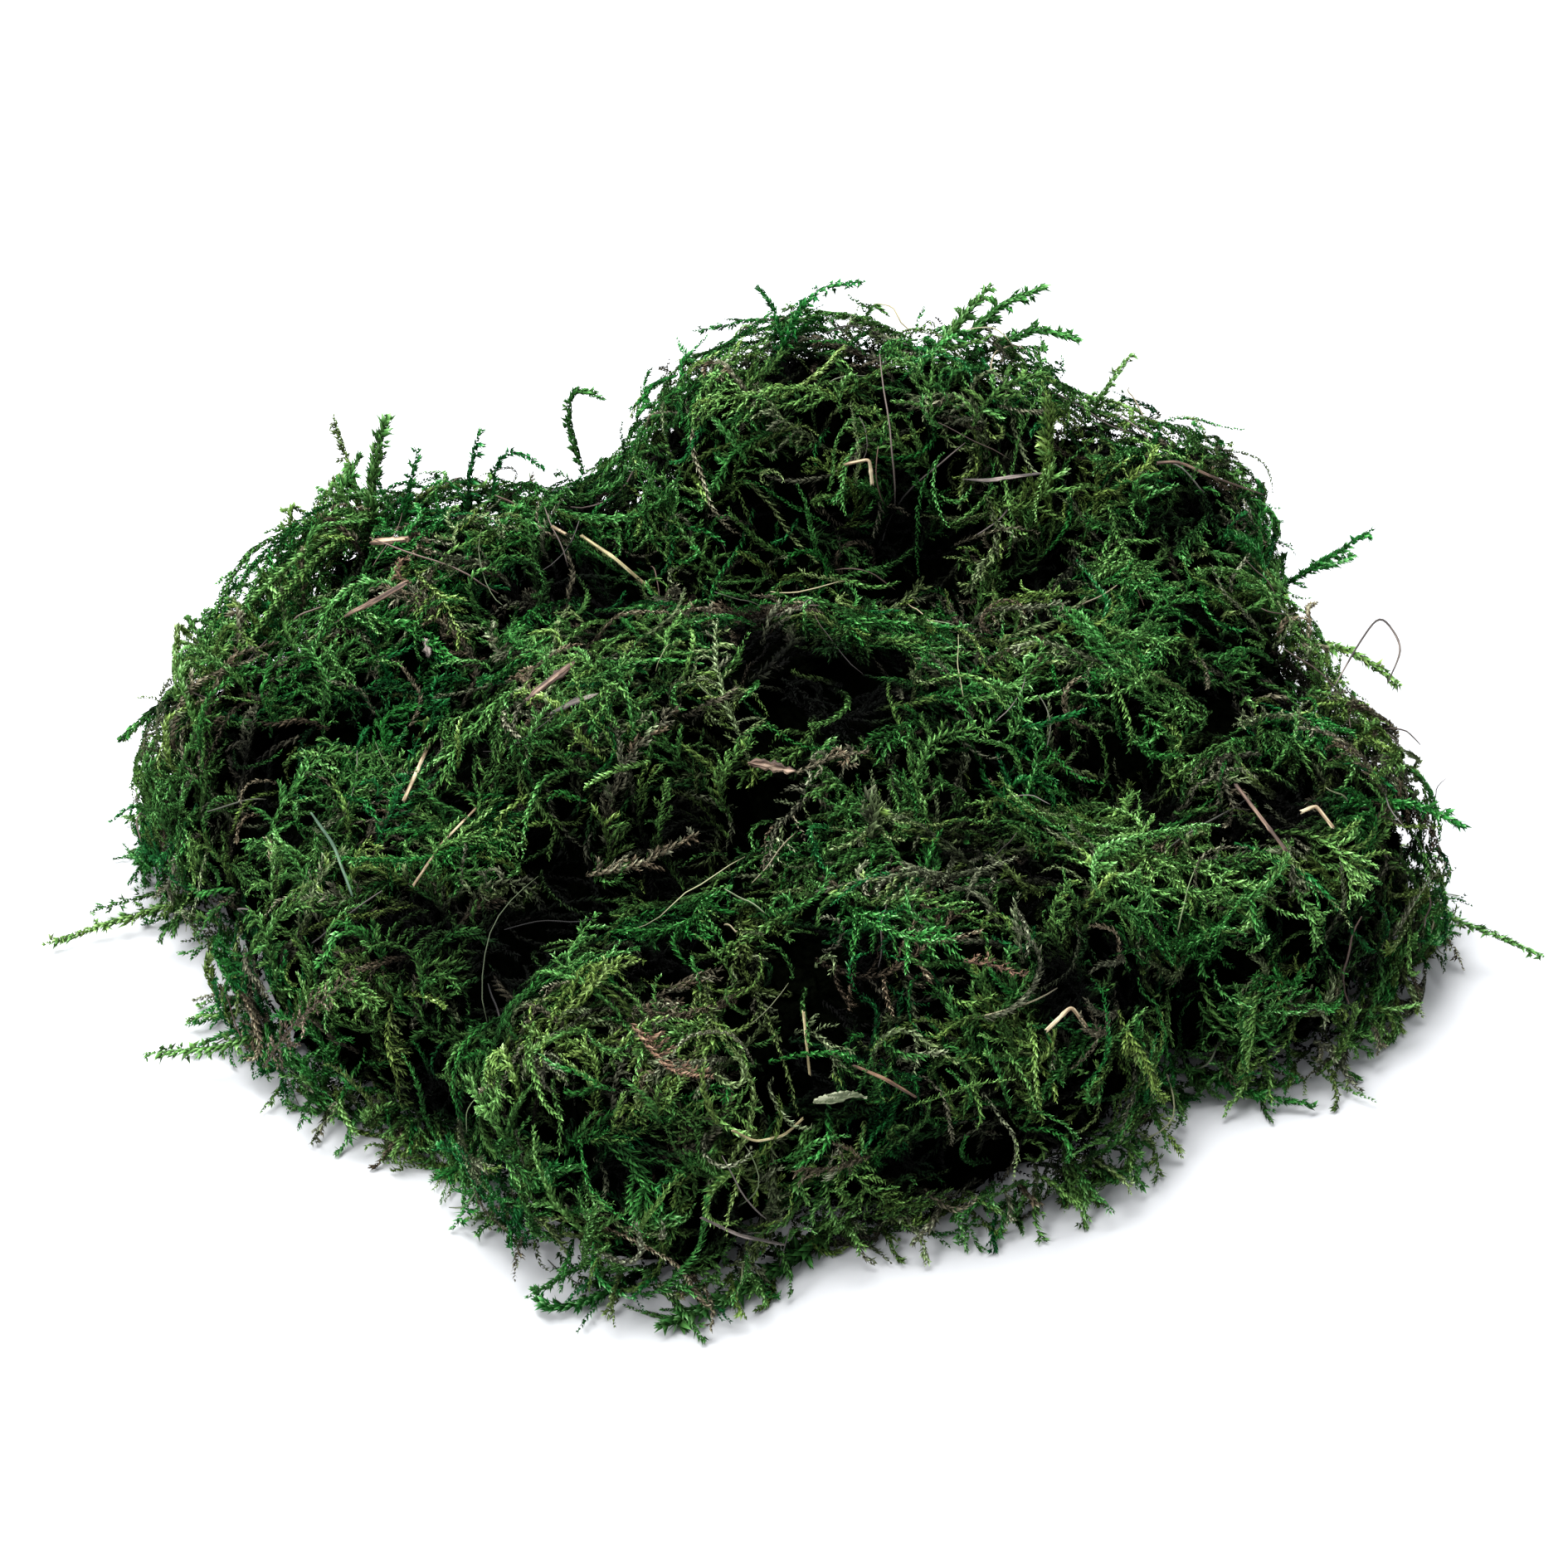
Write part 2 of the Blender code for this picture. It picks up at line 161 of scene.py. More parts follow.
def copy_of_node(node):
    """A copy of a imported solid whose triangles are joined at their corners."""
    thing = bpy.data.objects.new(node + "_copy", frame["nodes"][node].data.copy())
    bpy.context.scene.collection.objects.link(thing)
    pick(thing)
    bpy.ops.object.mode_set(mode="EDIT")
    bpy.ops.mesh.select_all(action="SELECT")
    bpy.ops.mesh.remove_doubles(threshold=0.01 * MM)
    bpy.ops.object.mode_set(mode="OBJECT")
    return thing


def places_of(mesh):
    flat = np.empty(len(mesh.vertices) * 3)
    mesh.vertices.foreach_get("co", flat)
    return flat.reshape(-1, 3)


def set_places(mesh, places):
    mesh.vertices.foreach_set("co", places.astype(np.float32).ravel())
    mesh.update()


def tree_of(mesh):
    corners = [vert.co for vert in mesh.vertices]
    faces = [tuple(face.vertices) for face in mesh.polygons]
    return BVHTree.FromPolygons(corners, faces)


def unit(vectors):
    return vectors / np.maximum(np.linalg.norm(vectors, axis=-1, keepdims=True), 1e-12)


def noise_at(places, pitch, shift=0.0):
    """Smooth noise from -1 to 1 at each place."""
    scaled = places / pitch + shift
    return np.array([noise.noise(Vector(place)) for place in scaled])


# The heap's depth


class Field:
    """Values on an even grid of points, blended between the eight nearest ones."""

    def __init__(self, low, pitch, values):
        self.low, self.pitch, self.values = low, pitch, values
        self.last = np.array(values.shape[:3]) - 2

    def at(self, places):
        steps = (places - self.low) / self.pitch
        cell = np.clip(steps.astype(int), 0, self.last)
        share = np.clip(steps - cell, 0, 1)
        total = 0
        for corner in product((0, 1), repeat=3):
            near = cell + corner
            weight = np.where(corner, share, 1 - share).prod(axis=-1)
            total = total + self.values[near[:, 0], near[:, 1], near[:, 2]] * weight[:, None]
        return total


def blurred(values, rounds):
    """The grid's values after rounds of averaging each point with its neighbours."""
    for _ in range(rounds):
        for axis in range(3):
            padded = np.concatenate(
                [values.take([0], axis), values, values.take([-1], axis)], axis
            )
            count = values.shape[axis]
            before = padded.take(range(count), axis)
            after = padded.take(range(2, count + 2), axis)
            values = values / 2 + (before + after) / 4
    return values


def with_slope(values, pitch):
    return np.stack([values, *np.gradient(values, pitch)], axis=-1)


class Heap:
    """How deep a place lies in the heap: under its snug surface, which dips into every crevice
    and hollow, and under the taut one, which shoots make where they bridge the crevices."""

    PITCH = 2.5 * MM
    MARGIN = 20 * MM
    FOOT = 25 * MM
    SWELLING = 0.6 * MM
    SKIN_VOXEL = 3 * MM
    TAUT_ROUNDS = 11
    TAUT_DROP = 1.3 * MM
    # Hollows by chance: their pitch in mm, the noise's shift and level, and their depth in mm.
    CHANCE_HOLLOWS = ((17, 3.7, 0.18, 5), (8, 9.1, 0.08, 3))
    CHANCE_RANGE = 0.4

    def __init__(self):
        self.skin = self.joined_skin()
        places = places_of(self.skin.data)
        low = places.min(axis=0) - self.MARGIN
        high = places.max(axis=0) + self.MARGIN
        low[2] = -10 * MM
        axes = [np.arange(low[i], high[i], self.PITCH) for i in range(3)]
        grid = np.stack(np.meshgrid(*axes, indexing="ij"), axis=-1)
        shape = grid.shape[:3]
        grid = grid.reshape(-1, 3)
        tree = tree_of(self.skin.data)
        depths = np.empty(len(grid))
        for i, place in enumerate(grid):
            near, normal, _, gap = tree.find_nearest(Vector(place))
            depths[i] = gap if (near - Vector(place)).dot(normal) > 0 else -gap
        hollow = self.hollow_at(grid, depths)
        self.hollow = Field(low, self.PITCH, hollow.reshape(*shape, 1))
        depths = depths.reshape(shape)
        snug = blurred(depths, 1) - hollow.reshape(shape)
        taut = blurred(depths, self.TAUT_ROUNDS) + self.TAUT_DROP
        self.snug = Field(low, self.PITCH, with_slope(snug, self.PITCH))
        self.taut = Field(low, self.PITCH, with_slope(taut, self.PITCH))

    def joined_skin(self):
        """The wads as one closed skin, with their feet drawn down below the floor, so that the
        floor isn't taken for a surface of the heap."""
        copies = [copy_of_node(wad) for wad in WADS]
        for copy in copies:
            places = places_of(copy.data)
            places[:, 2] -= self.FOOT * (places[:, 2] < 0.05 * MM)
            set_places(copy.data, places)
        pick(*copies)
        bpy.ops.object.join()
        skin = bpy.context.object
        bpy.ops.object.mode_set(mode="EDIT")
        bpy.ops.mesh.select_all(action="SELECT")
        bpy.ops.transform.shrink_fatten(value=self.SWELLING)
        bpy.ops.object.mode_set(mode="OBJECT")
        apply_modifier(skin, "REMESH", mode="VOXEL", voxel_size=self.SKIN_VOXEL)
        skin.name = "heap_skin"
        return skin

    def hollow_at(self, grid, depths):
        """How far the snug surface dips at each place, by the named hollows and by chance."""
        dip = np.zeros(len(grid))
        for opening, reach, depth in HOLLOWS:
            far = np.linalg.norm(grid - np.array(opening) * MM, axis=1) / (reach * MM)
            dip = np.maximum(dip, depth * MM * np.exp(-(far**3)))
        near = np.abs(depths) < 15 * MM
        for pitch, shift, level, depth in self.CHANCE_HOLLOWS:
            over = np.clip(noise_at(grid[near], pitch * MM, shift) - level, 0, self.CHANCE_RANGE)
            dip[near] += over / self.CHANCE_RANGE * depth * MM
        return dip

    def level(self, places, tautness):
        """Depth and its slope at each place, between the snug surface (0) and the taut one (1)."""
        share = tautness[:, None]
        return self.snug.at(places) * (1 - share) + self.taut.at(places) * share


# Growing shoots


def scatter(heap, count, rng):
    """Even random places on the skin above the floor, with the outward direction at each."""
    mesh = heap.skin.data
    mesh.calc_loop_triangles()
    corners = np.empty(len(mesh.loop_triangles) * 3, int)
    mesh.loop_triangles.foreach_get("vertices", corners)
    points = places_of(mesh)[corners.reshape(-1, 3)]
    sides = np.cross(points[:, 1] - points[:, 0], points[:, 2] - points[:, 0])
    areas = np.linalg.norm(sides, axis=1) * (points[:, :, 2].min(axis=1) > 0.5 * MM)
    chosen = rng.choice(len(areas), count, p=areas / areas.sum())
    share = rng.random((count, 2))
    folded = share.sum(axis=1) > 1
    share[folded] = 1 - share[folded]
    a, b, c = points[chosen, 0], points[chosen, 1], points[chosen, 2]
    places = a + (b - a) * share[:, :1] + (c - a) * share[:, 1:]
    return places, unit(sides[chosen])


def turned(vectors, axes, angles):
    """Vectors turned about axes that are square to them."""
    return vectors * np.cos(angles)[:, None] + np.cross(axes, vectors) * np.sin(angles)[:, None]


def square_to(vectors, axes):
    return unit(vectors - axes * (vectors * axes).sum(axis=1, keepdims=True))


COMB_PITCH = 34 * MM
COMB_SHIFTS = (5.1, 12.3, 28.9)


def combed(places, normals, rng, astray):
    """Directions along the surface that neighbours share, each astray by chance."""
    pull = np.stack([noise_at(places, COMB_PITCH, shift) for shift in COMB_SHIFTS], axis=1)
    heading = square_to(pull, normals)
    return turned(heading, normals, rng.normal(0, astray, len(places)))


class Shoots:
    """Many shoots of one kind: their paths, the outward direction along them, and what they
    look like. Every array's first axis is the shoot."""

    def __init__(self, paths, outward, lengths, wad, dye, girth):
        self.paths, self.outward, self.lengths = paths, outward, lengths
        self.wad, self.dye, self.girth = wad, dye, girth
        self.ahead = unit(np.gradient(paths, axis=1))

    def at(self, index, share):
        """Place, direction and outward direction of each shoot at a share of its length."""
        steps = self.paths.shape[1] - 1
        first = np.minimum((share * steps).astype(int), steps - 1)
        part = (share * steps - first)[:, None]
        place, ahead, outward = [
            rows[index, first] * (1 - part) + rows[index, first + 1] * part
            for rows in (self.paths, self.ahead, self.outward)
        ]
        ahead = unit(ahead)
        return place, ahead, square_to(outward, ahead)

    def bent(self, index, share, aside, up, along=0.0):
        """Where points beside the shoots come to lie."""
        place, ahead, outward = self.at(index, share)
        across = np.cross(ahead, outward)
        return place + across * aside[:, None] + outward * up[:, None] + ahead * along


GRIP = 0.8  # the share of its distance from the wanted depth that a path makes up at a step


def grow(heap, starts, headings, lengths, depths, bends, tautness):
    """Paths that start at places, head off along the heap and keep to a depth in it at each step,
    turning sideways by a bend at each step."""
    count, steps = depths.shape
    stride = (lengths / (steps - 1))[:, None]
    paths, outward = np.empty((2, count, steps, 3))
    place, heading = starts.copy(), headings.copy()
    for step in range(steps):
        if step:
            place = place + heading * stride
        level = heap.level(place, tautness)
        normal = -unit(level[:, 1:])
        place = place + normal * (GRIP * (level[:, 0] - depths[:, step]))[:, None]
        place[:, 2] = np.maximum(place[:, 2], LOWEST_STEM)
        heading = turned(square_to(heading, normal), normal, bends[:, step])
        paths[:, step], outward[:, step] = place, normal
    return paths, outward


def grow_free(starts, headings, normals, lengths, bends, droop):
    """Paths through the air that turn sideways by a bend at each step, and droop."""
    count, steps = bends.shape
    stride = (lengths / (steps - 1))[:, None]
    paths, outward = np.empty((2, count, steps, 3))
    place, heading, normal = starts.copy(), headings.copy(), normals.copy()
    for step in range(steps):
        if step:
            place = place + heading * stride
        place[:, 2] = np.maximum(place[:, 2], LOWEST_STEM)
        heading = turned(square_to(heading, normal), normal, bends[:, step])
        heading = unit(heading - np.array((0, 0, 1)) * droop[:, None])
        normal = square_to(normal, heading)
        paths[:, step], outward[:, step] = place, normal
    return paths, outward


def ramp(start, end, steps, power=1.0):
    """Rows that run from start to end over some steps."""
    share = np.linspace(0, 1, steps) ** power
    return start[:, None] * (1 - share) + end[:, None] * share


def wad_at(places):
    """Which wad each place is nearest to."""
    corners, faces, owner = [], [], []
    for number, wad in enumerate(WADS):
        mesh = frame["nodes"][wad].data
        first = len(corners)
        corners += [vert.co for vert in mesh.vertices]
        faces += [[first + i for i in face.vertices] for face in mesh.polygons]
        owner += [number] * len(mesh.polygons)
    tree = BVHTree.FromPolygons(corners, faces)
    return np.array([owner[tree.find_nearest(Vector(place))[2]] for place in places])


STEM_STEPS = 16
RING_TURNS = (-0.32, 0.32)  # radians at each step of a shoot that curls into a ring


def grow_stems(heap, count, rng, lengths, base, middle, tip, astray, rings=0.05, curl=0.12):
    """The main stems of shoots: rooted at one depth, risen to another and ending at a third."""
    starts, normals = scatter(heap, count, rng)
    headings = combed(starts, normals, rng, astray)
    tautness = rng.random(count) ** 0.5
    steps, half = STEM_STEPS, STEM_STEPS // 2
    depths = np.concatenate(
        [ramp(base, middle, half, 0.6), ramp(middle, tip, steps - half, 1.6)], axis=1
    )
    ring = rng.random(count) < rings
    turns = np.where(ring, rng.choice(RING_TURNS, count), rng.normal(0, curl, count))
    bends = turns[:, None] + rng.normal(0, curl, (count, steps))
    paths, outward = grow(heap, starts, headings, lengths, depths, bends, tautness)
    return paths, outward, tautness


PATCH_PITCH = 26 * MM
MIDDLE_DYE = 0.42
FADED_SHARE = 0.16
FIRST_FADED = 0.72  # in the palette


def patch_dye(places, rng, spread):
    """Which of the palette's colours each shoot has: alike in a patch, and a little by chance."""
    patch = MIDDLE_DYE + MIDDLE_DYE * noise_at(places, PATCH_PITCH, 21.0)
    dye = np.clip(patch + rng.normal(0, spread, len(places)), 0, 0.95)
    faded = rng.random(len(places)) < FADED_SHARE
    return np.where(faded, rng.uniform(FIRST_FADED, 1, len(places)), dye)


def spaced(counts):
    """For rows of so many things each: which row each thing is in, and its rank in the row."""
    index = np.repeat(np.arange(len(counts)), counts)
    return index, np.arange(len(index)) - np.repeat(np.cumsum(counts) - counts, counts)


BRANCH_STEPS = 7
ONE_SIDED_SHARE = 0.3
BRANCHED = (0.08, 0.88)  # where the first branchlet is, and how much of the stem they fill
SHORTEST_BRANCH = 1.6 * MM


def branch_out(heap, stems, tautness, pitch, longest, rng, spread=0.95):
    """Comb-like branchlets along both sides of each stem, longest near its foot. With no heap
    they grow through the air."""
    steps = BRANCH_STEPS
    counts = np.maximum(2, (stems.lengths * 0.86 / (pitch / 2)).astype(int))
    rows = len(counts)
    index, rank = spaced(counts)
    first, filled = BRANCHED
    share = first + filled * (rank + rng.random(len(index)) * 0.6) / counts[index]
    share = np.clip(share, 0, 0.99)
    starts, ahead, outward = stems.at(index, share)
    side = np.where((rank + index) % 2 == 0, 1.0, -1.0)
    one_sided = rng.random(rows) < ONE_SIDED_SHARE
    side = np.where(one_sided[index], np.where(index % 2 == 0, 1.0, -1.0), side)
    across = np.cross(outward, ahead) * side[:, None]
    untidy = rng.uniform(0.05, 0.35, rows)[index]
    angle = rng.normal(spread, 0.18, rows)[index] + rng.normal(0, 1, len(index)) * untidy
    heading = ahead * np.cos(angle)[:, None] + across * np.sin(angle)[:, None]
    outline = np.minimum(1, 0.4 + 3 * share) * (1 - share) ** 0.4
    reach = (longest * rng.uniform(0.55, 1.25, rows))[index]
    lengths = np.maximum(reach * outline * rng.uniform(0.6, 1.2, len(index)), SHORTEST_BRANCH)
    sweep = rng.normal(-0.16, 0.16, rows)[index] + rng.normal(0, 0.5, len(index)) * untidy
    bends = (sweep * side)[:, None] + rng.normal(0, 0.17, (len(index), steps))
    sag = rng.normal(1.0, 1.4, rows)[index] + rng.normal(0, 1.0, len(index))
    if heap:
        at_stem = heap.level(starts, tautness[index])[:, 0]
        targets = ramp(at_stem, at_stem + sag * MM * lengths / (6 * MM), steps, 1.5)
        targets = np.maximum(targets, -3 * MM)
        paths, normals = grow(heap, starts, heading, lengths, targets, bends, tautness[index])
    else:
        paths, normals = grow_free(starts, heading, outward, lengths, bends, sag * 0.05)
    dye = np.clip(stems.dye[index] + rng.normal(0, 0.06, len(index)), 0, 1)
    girth = stems.girth[index] * rng.uniform(0.75, 1.1, len(index))
    return Shoots(paths, normals, lengths, stems.wad[index], dye, girth)


# Shapes that are modelled once


class Shape:
    """Corners and triangles of something that is modelled once and laid along many shoots."""

    def __init__(self, thing):
        self.corners = places_of(thing.data)
        self.faces = np.array([tuple(face.vertices) for face in thing.data.polygons])
        bpy.data.objects.remove(thing)


def whorl():
    """Three leaves round a stem that runs up Z: a ring whose edges are drawn out to points."""
    bpy.ops.object.select_all(action="DESELECT")
    bpy.ops.mesh.primitive_circle_add(vertices=3, radius=0.30, fill_type="NOTHING")
    thing = bpy.context.object
    for corner in range(3):
        ends = {corner, (corner + 1) % 3}
        bpy.ops.object.mode_set(mode="EDIT")
        bpy.ops.mesh.select_all(action="DESELECT")
        bpy.ops.object.mode_set(mode="OBJECT")
        for vert in thing.data.vertices:
            vert.select = vert.index in ends
        for edge in thing.data.edges:
            edge.select = set(edge.vertices) == ends
        outward = sum((thing.data.vertices[end].co for end in ends), Vector()).normalized()
        bpy.ops.object.mode_set(mode="EDIT")
        reach = (outward.x * 0.36, outward.y * 0.36, 0.70)
        bpy.ops.mesh.extrude_region_move(TRANSFORM_OT_translate={"value": reach})
        bpy.ops.mesh.merge(type="CENTER")
        bpy.ops.object.mode_set(mode="OBJECT")
    return Shape(thing)


def drawn_stalk(sides, widths):
    """A closed stalk one unit long, drawn up Z out of a disc. Its radii are evenly spaced."""
    bpy.ops.object.select_all(action="DESELECT")
    bpy.ops.mesh.primitive_circle_add(vertices=sides, radius=widths[0], fill_type="NGON")
    bpy.ops.object.mode_set(mode="EDIT")
    rise = 1 / (len(widths) - 1)
    for number, (before, after) in enumerate(zip(widths, widths[1:]), 1):
        bpy.ops.mesh.extrude_region_move(TRANSFORM_OT_translate={"value": (0, 0, rise)})
        growth = (after / before, after / before, 1)
        bpy.ops.transform.resize(value=growth, center_override=(0, 0, number * rise))
    bpy.ops.mesh.select_all(action="SELECT")
    bpy.ops.mesh.normals_make_consistent(inside=False)
    bpy.ops.object.mode_set(mode="OBJECT")
    return bpy.context.object


def wire():
    """A thin round stem, a little thicker in the middle."""
    thing = drawn_stalk(3, [0.6, 0.9, 1.0, 1.0, 0.9, 1.0, 0.9, 0.8, 0.5])
    pick(thing)
    bpy.ops.object.mode_set(mode="EDIT")
    bpy.ops.mesh.select_all(action="SELECT")
    bpy.ops.mesh.quads_convert_to_tris()
    bpy.ops.object.mode_set(mode="OBJECT")
    return Shape(thing)


class Growth:
    """Copies of one shape, gathered from many shoots and then made one mesh for each wad. Their
    shade and tone runs from 0 in the foot of a leaf, dark there as painted shade, to 1 at a bright tip."""

    def __init__(self, shape):
        self.shape, self.parts = shape, []

    def add(self, points, tone, dye, wad):
        points[..., 2] = np.maximum(points[..., 2], FLOOR_GAP)
        self.parts.append((points, tone, dye, wad))

    def mesh(self, name, number):
        """The mesh of the copies that belong to one wad."""
        chosen = [[rows[part[3] == number] for rows in part[:3]] for part in self.parts]
        points, tone, dye = [np.concatenate(rows) for rows in zip(*chosen)]
        count, size = points.shape[:2]
        faces = (np.arange(count)[:, None, None] * size + self.shape.faces).reshape(-1, 3)
        mesh = bpy.data.meshes.new(name)
        mesh.vertices.add(count * size)
        mesh.vertices.foreach_set("co", points.astype(np.float32).ravel())
        mesh.loops.add(len(faces) * 3)
        mesh.loops.foreach_set("vertex_index", faces.astype(np.int32).ravel())
        mesh.polygons.add(len(faces))
        mesh.polygons.foreach_set("loop_start", np.arange(len(faces), dtype=np.int32) * 3)
        mesh.update(calc_edges=True)
        mesh.shade_smooth()
        for label, values in (("tone", tone), ("dye", dye)):
            layer = mesh.attributes.new(label, "FLOAT", "POINT")
            layer.data.foreach_set("value", values.astype(np.float32).ravel())
        return mesh


# Painted shade: how deep light falls into the heap, and how much darker a hollow makes its surroundings,
# painted into the colour of leaves and stems.
LIGHT_AT_TOP = 1.22
LIGHT_DEPTH = 7 * MM
LEAST_LIGHT = 0.02
HOLLOW_SHADE = 0.45


def light_at(heap, places):
    """How lit each place is, painted into colour as shade: from 0 deep in the heap to 1 at its surface."""
    if heap is None:
        return np.ones(len(places))
    depth = heap.taut.at(places)[:, 0] + HOLLOW_SHADE * heap.hollow.at(places)[:, 0]
    return np.clip(LIGHT_AT_TOP - depth / LIGHT_DEPTH, LEAST_LIGHT, 1) ** 1.4


WHORL_TURN = 0.7  # radians from one whorl to the next
# The foot of every leaf is dark as painted shade between the leaves; the tips' tones differ at random.
FOOT_SHADE = 0.2
TIP_TONES = (0.5, 1.5)
TIP_WANDER = 0.12 * MM


def leaf_out(growth, shoots, pitch, heap, rng):
    """Adds whorls of leaves along every shoot."""
    counts = np.maximum(2, (shoots.lengths / pitch).astype(int))
    index, rank = spaced(counts)
    share = (rank + 0.2) / counts[index]
    taper = (0.8 + 0.2 * np.minimum(1, 4 * share)) * (1 - 0.5 * share**4)
    size = shoots.girth[index] * taper * rng.uniform(0.8, 1.2, len(index))
    phase = rank * WHORL_TURN + rng.uniform(0, 6.28, len(counts))[index]
    turn, lift = np.cos(phase)[:, None], np.sin(phase)[:, None]
    x, y, z = growth.shape.corners.T
    lean = rng.normal(0, 0.2, len(counts))[index]
    aside = (x * turn - y * lift) * size[:, None]
    up = (x * lift + y * turn) * size[:, None] * 0.85
    along = z * size[:, None] + rng.normal(0, 0.08 * MM, (len(index), 6))
    aside[:, 3:] += lean[:, None] * size[:, None] + rng.normal(0, TIP_WANDER, (len(index), 3))
    up[:, 3:] += -0.1 * size[:, None] + rng.normal(0, TIP_WANDER, (len(index), 3))
    places, ahead, outward = shoots.at(index, share)
    across = np.cross(ahead, outward)
    points = (
        places[:, None]
        + across[:, None] * aside[..., None]
        + outward[:, None] * up[..., None]
        + ahead[:, None] * along[..., None]
    )
    # Painted shade: the foot of every leaf is darker than its tip.
    tone = np.empty((len(index), 6))
    tone[:, :3] = FOOT_SHADE
    tone[:, 3:] = rng.uniform(*TIP_TONES, (len(index), 3))
    # Painted light and shade: leaves that face outward are lighter, those that face inward and down darker.
    tone *= np.clip(0.72 + 0.65 * up / size[:, None], 0.15, None)
    fresh = np.clip(np.exp(rng.normal(-0.05, 0.42, len(counts))), 0.3, 1.6)[index]
    # Painted shade deep in the heap and by its hollows (light_at); lighter towards the shoot's end; each
    # shoot's freshness differs at random.
    tone *= (fresh * light_at(heap, places) * (0.8 + 0.2 * share**2))[:, None]
    dye = np.repeat(shoots.dye[index], 6).reshape(-1, 6)
    growth.add(points, tone, dye, shoots.wad[index])


def wire_out(growth, shoots, heap, rng):
    """Adds one bare stem along every shoot."""
    size = len(growth.shape.corners)
    x, y, z = growth.shape.corners.T
    index = np.repeat(np.arange(len(shoots.lengths)), size)
    share = np.tile(z, len(shoots.lengths))
    girth = shoots.girth[index]
    points = shoots.bent(
        index, share, np.tile(x, len(shoots.lengths)) * girth, np.tile(y, len(shoots.lengths)) * girth
    )
    # Painted shade deep in the heap (light_at), times a tone that differs at random.
    tone = light_at(heap, points) * rng.uniform(0.3, 0.9, len(shoots.lengths))[index]
    dye = shoots.dye[index]
    shape = (-1, size)
    growth.add(points.reshape(-1, size, 3), tone.reshape(shape), dye.reshape(shape), shoots.wad)


def route(points, steps=24):
    """A soft curve through points, evenly stepped."""
    points = np.array(points, float)
    run = np.concatenate([[0], np.cumsum(np.linalg.norm(np.diff(points, axis=0), axis=1))])
    even = np.linspace(0, run[-1], steps)
    path = np.stack([np.interp(even, run, points[:, i]) for i in range(3)], axis=1)
    for _ in range(steps // 5):
        path[1:-1] = path[1:-1] / 2 + (path[:-2] + path[2:]) / 4
    return path


def along_routes(paths, wad, dye, girth):
    """Shoots along ready paths, with their outward direction as near to up as it can be."""
    paths = np.array(paths)
    ahead = unit(np.gradient(paths, axis=1))
    up = np.broadcast_to((0.1, -0.3, 0.9), paths.shape)
    outward = unit(up - ahead * (up * ahead).sum(axis=-1, keepdims=True))
    lengths = np.linalg.norm(np.diff(paths, axis=1), axis=-1).sum(axis=1)
    return Shoots(paths, outward, lengths, wad, np.array(dye), np.array(girth))


FELT_VOXEL = 2.2 * MM
FELT_LUMPS = 1.5 * MM
FELT_FLOOR = 1.2 * MM


def felt_core(heap, wad, depth):
    """The dense inside of a wad, coloured near black as painted shade: its solid, drawn in wherever the
    moss is loose.
    """
    core = copy_of_node(wad)
    apply_modifier(core, "REMESH", mode="VOXEL", voxel_size=FELT_VOXEL)
    places = places_of(core.data)
    wanted = depth + FELT_LUMPS * noise_at(places, 6 * MM)
    wanted += np.clip(1 - places[:, 2] / (12 * MM), 0, 1) * 2 * MM
    for _ in range(3):
        level = heap.snug.at(places)
        short = np.maximum(wanted - level[:, 0], 0)
        places += unit(level[:, 1:]) * short[:, None]
    places[:, 2] = np.clip(places[:, 2], FELT_FLOOR, None)
    set_places(core.data, places)
    core.data.shade_smooth()
    return core


# Litter


def centreline(node):
    """The middle of each ring of a packed tube, from end to end, and the rings' radii."""
    thing = copy_of_node(node)
    corners = places_of(thing.data)
    ends = np.array([tuple(edge.vertices) for edge in thing.data.edges])
    bpy.data.objects.remove(thing)
    lengths = np.linalg.norm(corners[ends[:, 0]] - corners[ends[:, 1]], axis=1)
    ring = np.arange(len(corners))
    for _ in corners:
        for a, b in ends[lengths < 1.3 * MM]:
            ring[a] = ring[b] = min(ring[a], ring[b])
    beside = {int(label): set() for label in ring}
    for a, b in ring[ends]:
        if a != b:
            beside[int(a)].add(int(b))
            beside[int(b)].add(int(a))
    at = min(label for label in beside if len(beside[label]) == 1)
    order = [at]
    while len(order) < len(beside):
        at = min(beside[at] - set(order))
        order.append(at)
    middles = np.array([corners[ring == label].mean(axis=0) for label in order])
    radii = [
        np.linalg.norm(corners[ring == label] - middle, axis=1).mean()
        for label, middle in zip(order, middles)
    ]
    return middles, np.array(radii)


def store_grain(mesh, grain):
    """Keeps the straight shape of a piece, for the streaks of its material."""
    layer = mesh.attributes.new("grain", "FLOAT_VECTOR", "POINT")
    layer.data.foreach_set("vector", grain.astype(np.float32).ravel())


def roughened(places, depth, streak):
    """Places pushed in and out along their own radius, by fibres that run up Z and by lumps."""
    fibres = noise_at(places / np.array((1, 1, streak)), 0.45 * MM)
    lumps = noise_at(places, 2.2 * MM, 4.0)
    places = places.copy()
    places[:, :2] *= (1 + depth * fibres + depth * lumps)[:, None]
    return places


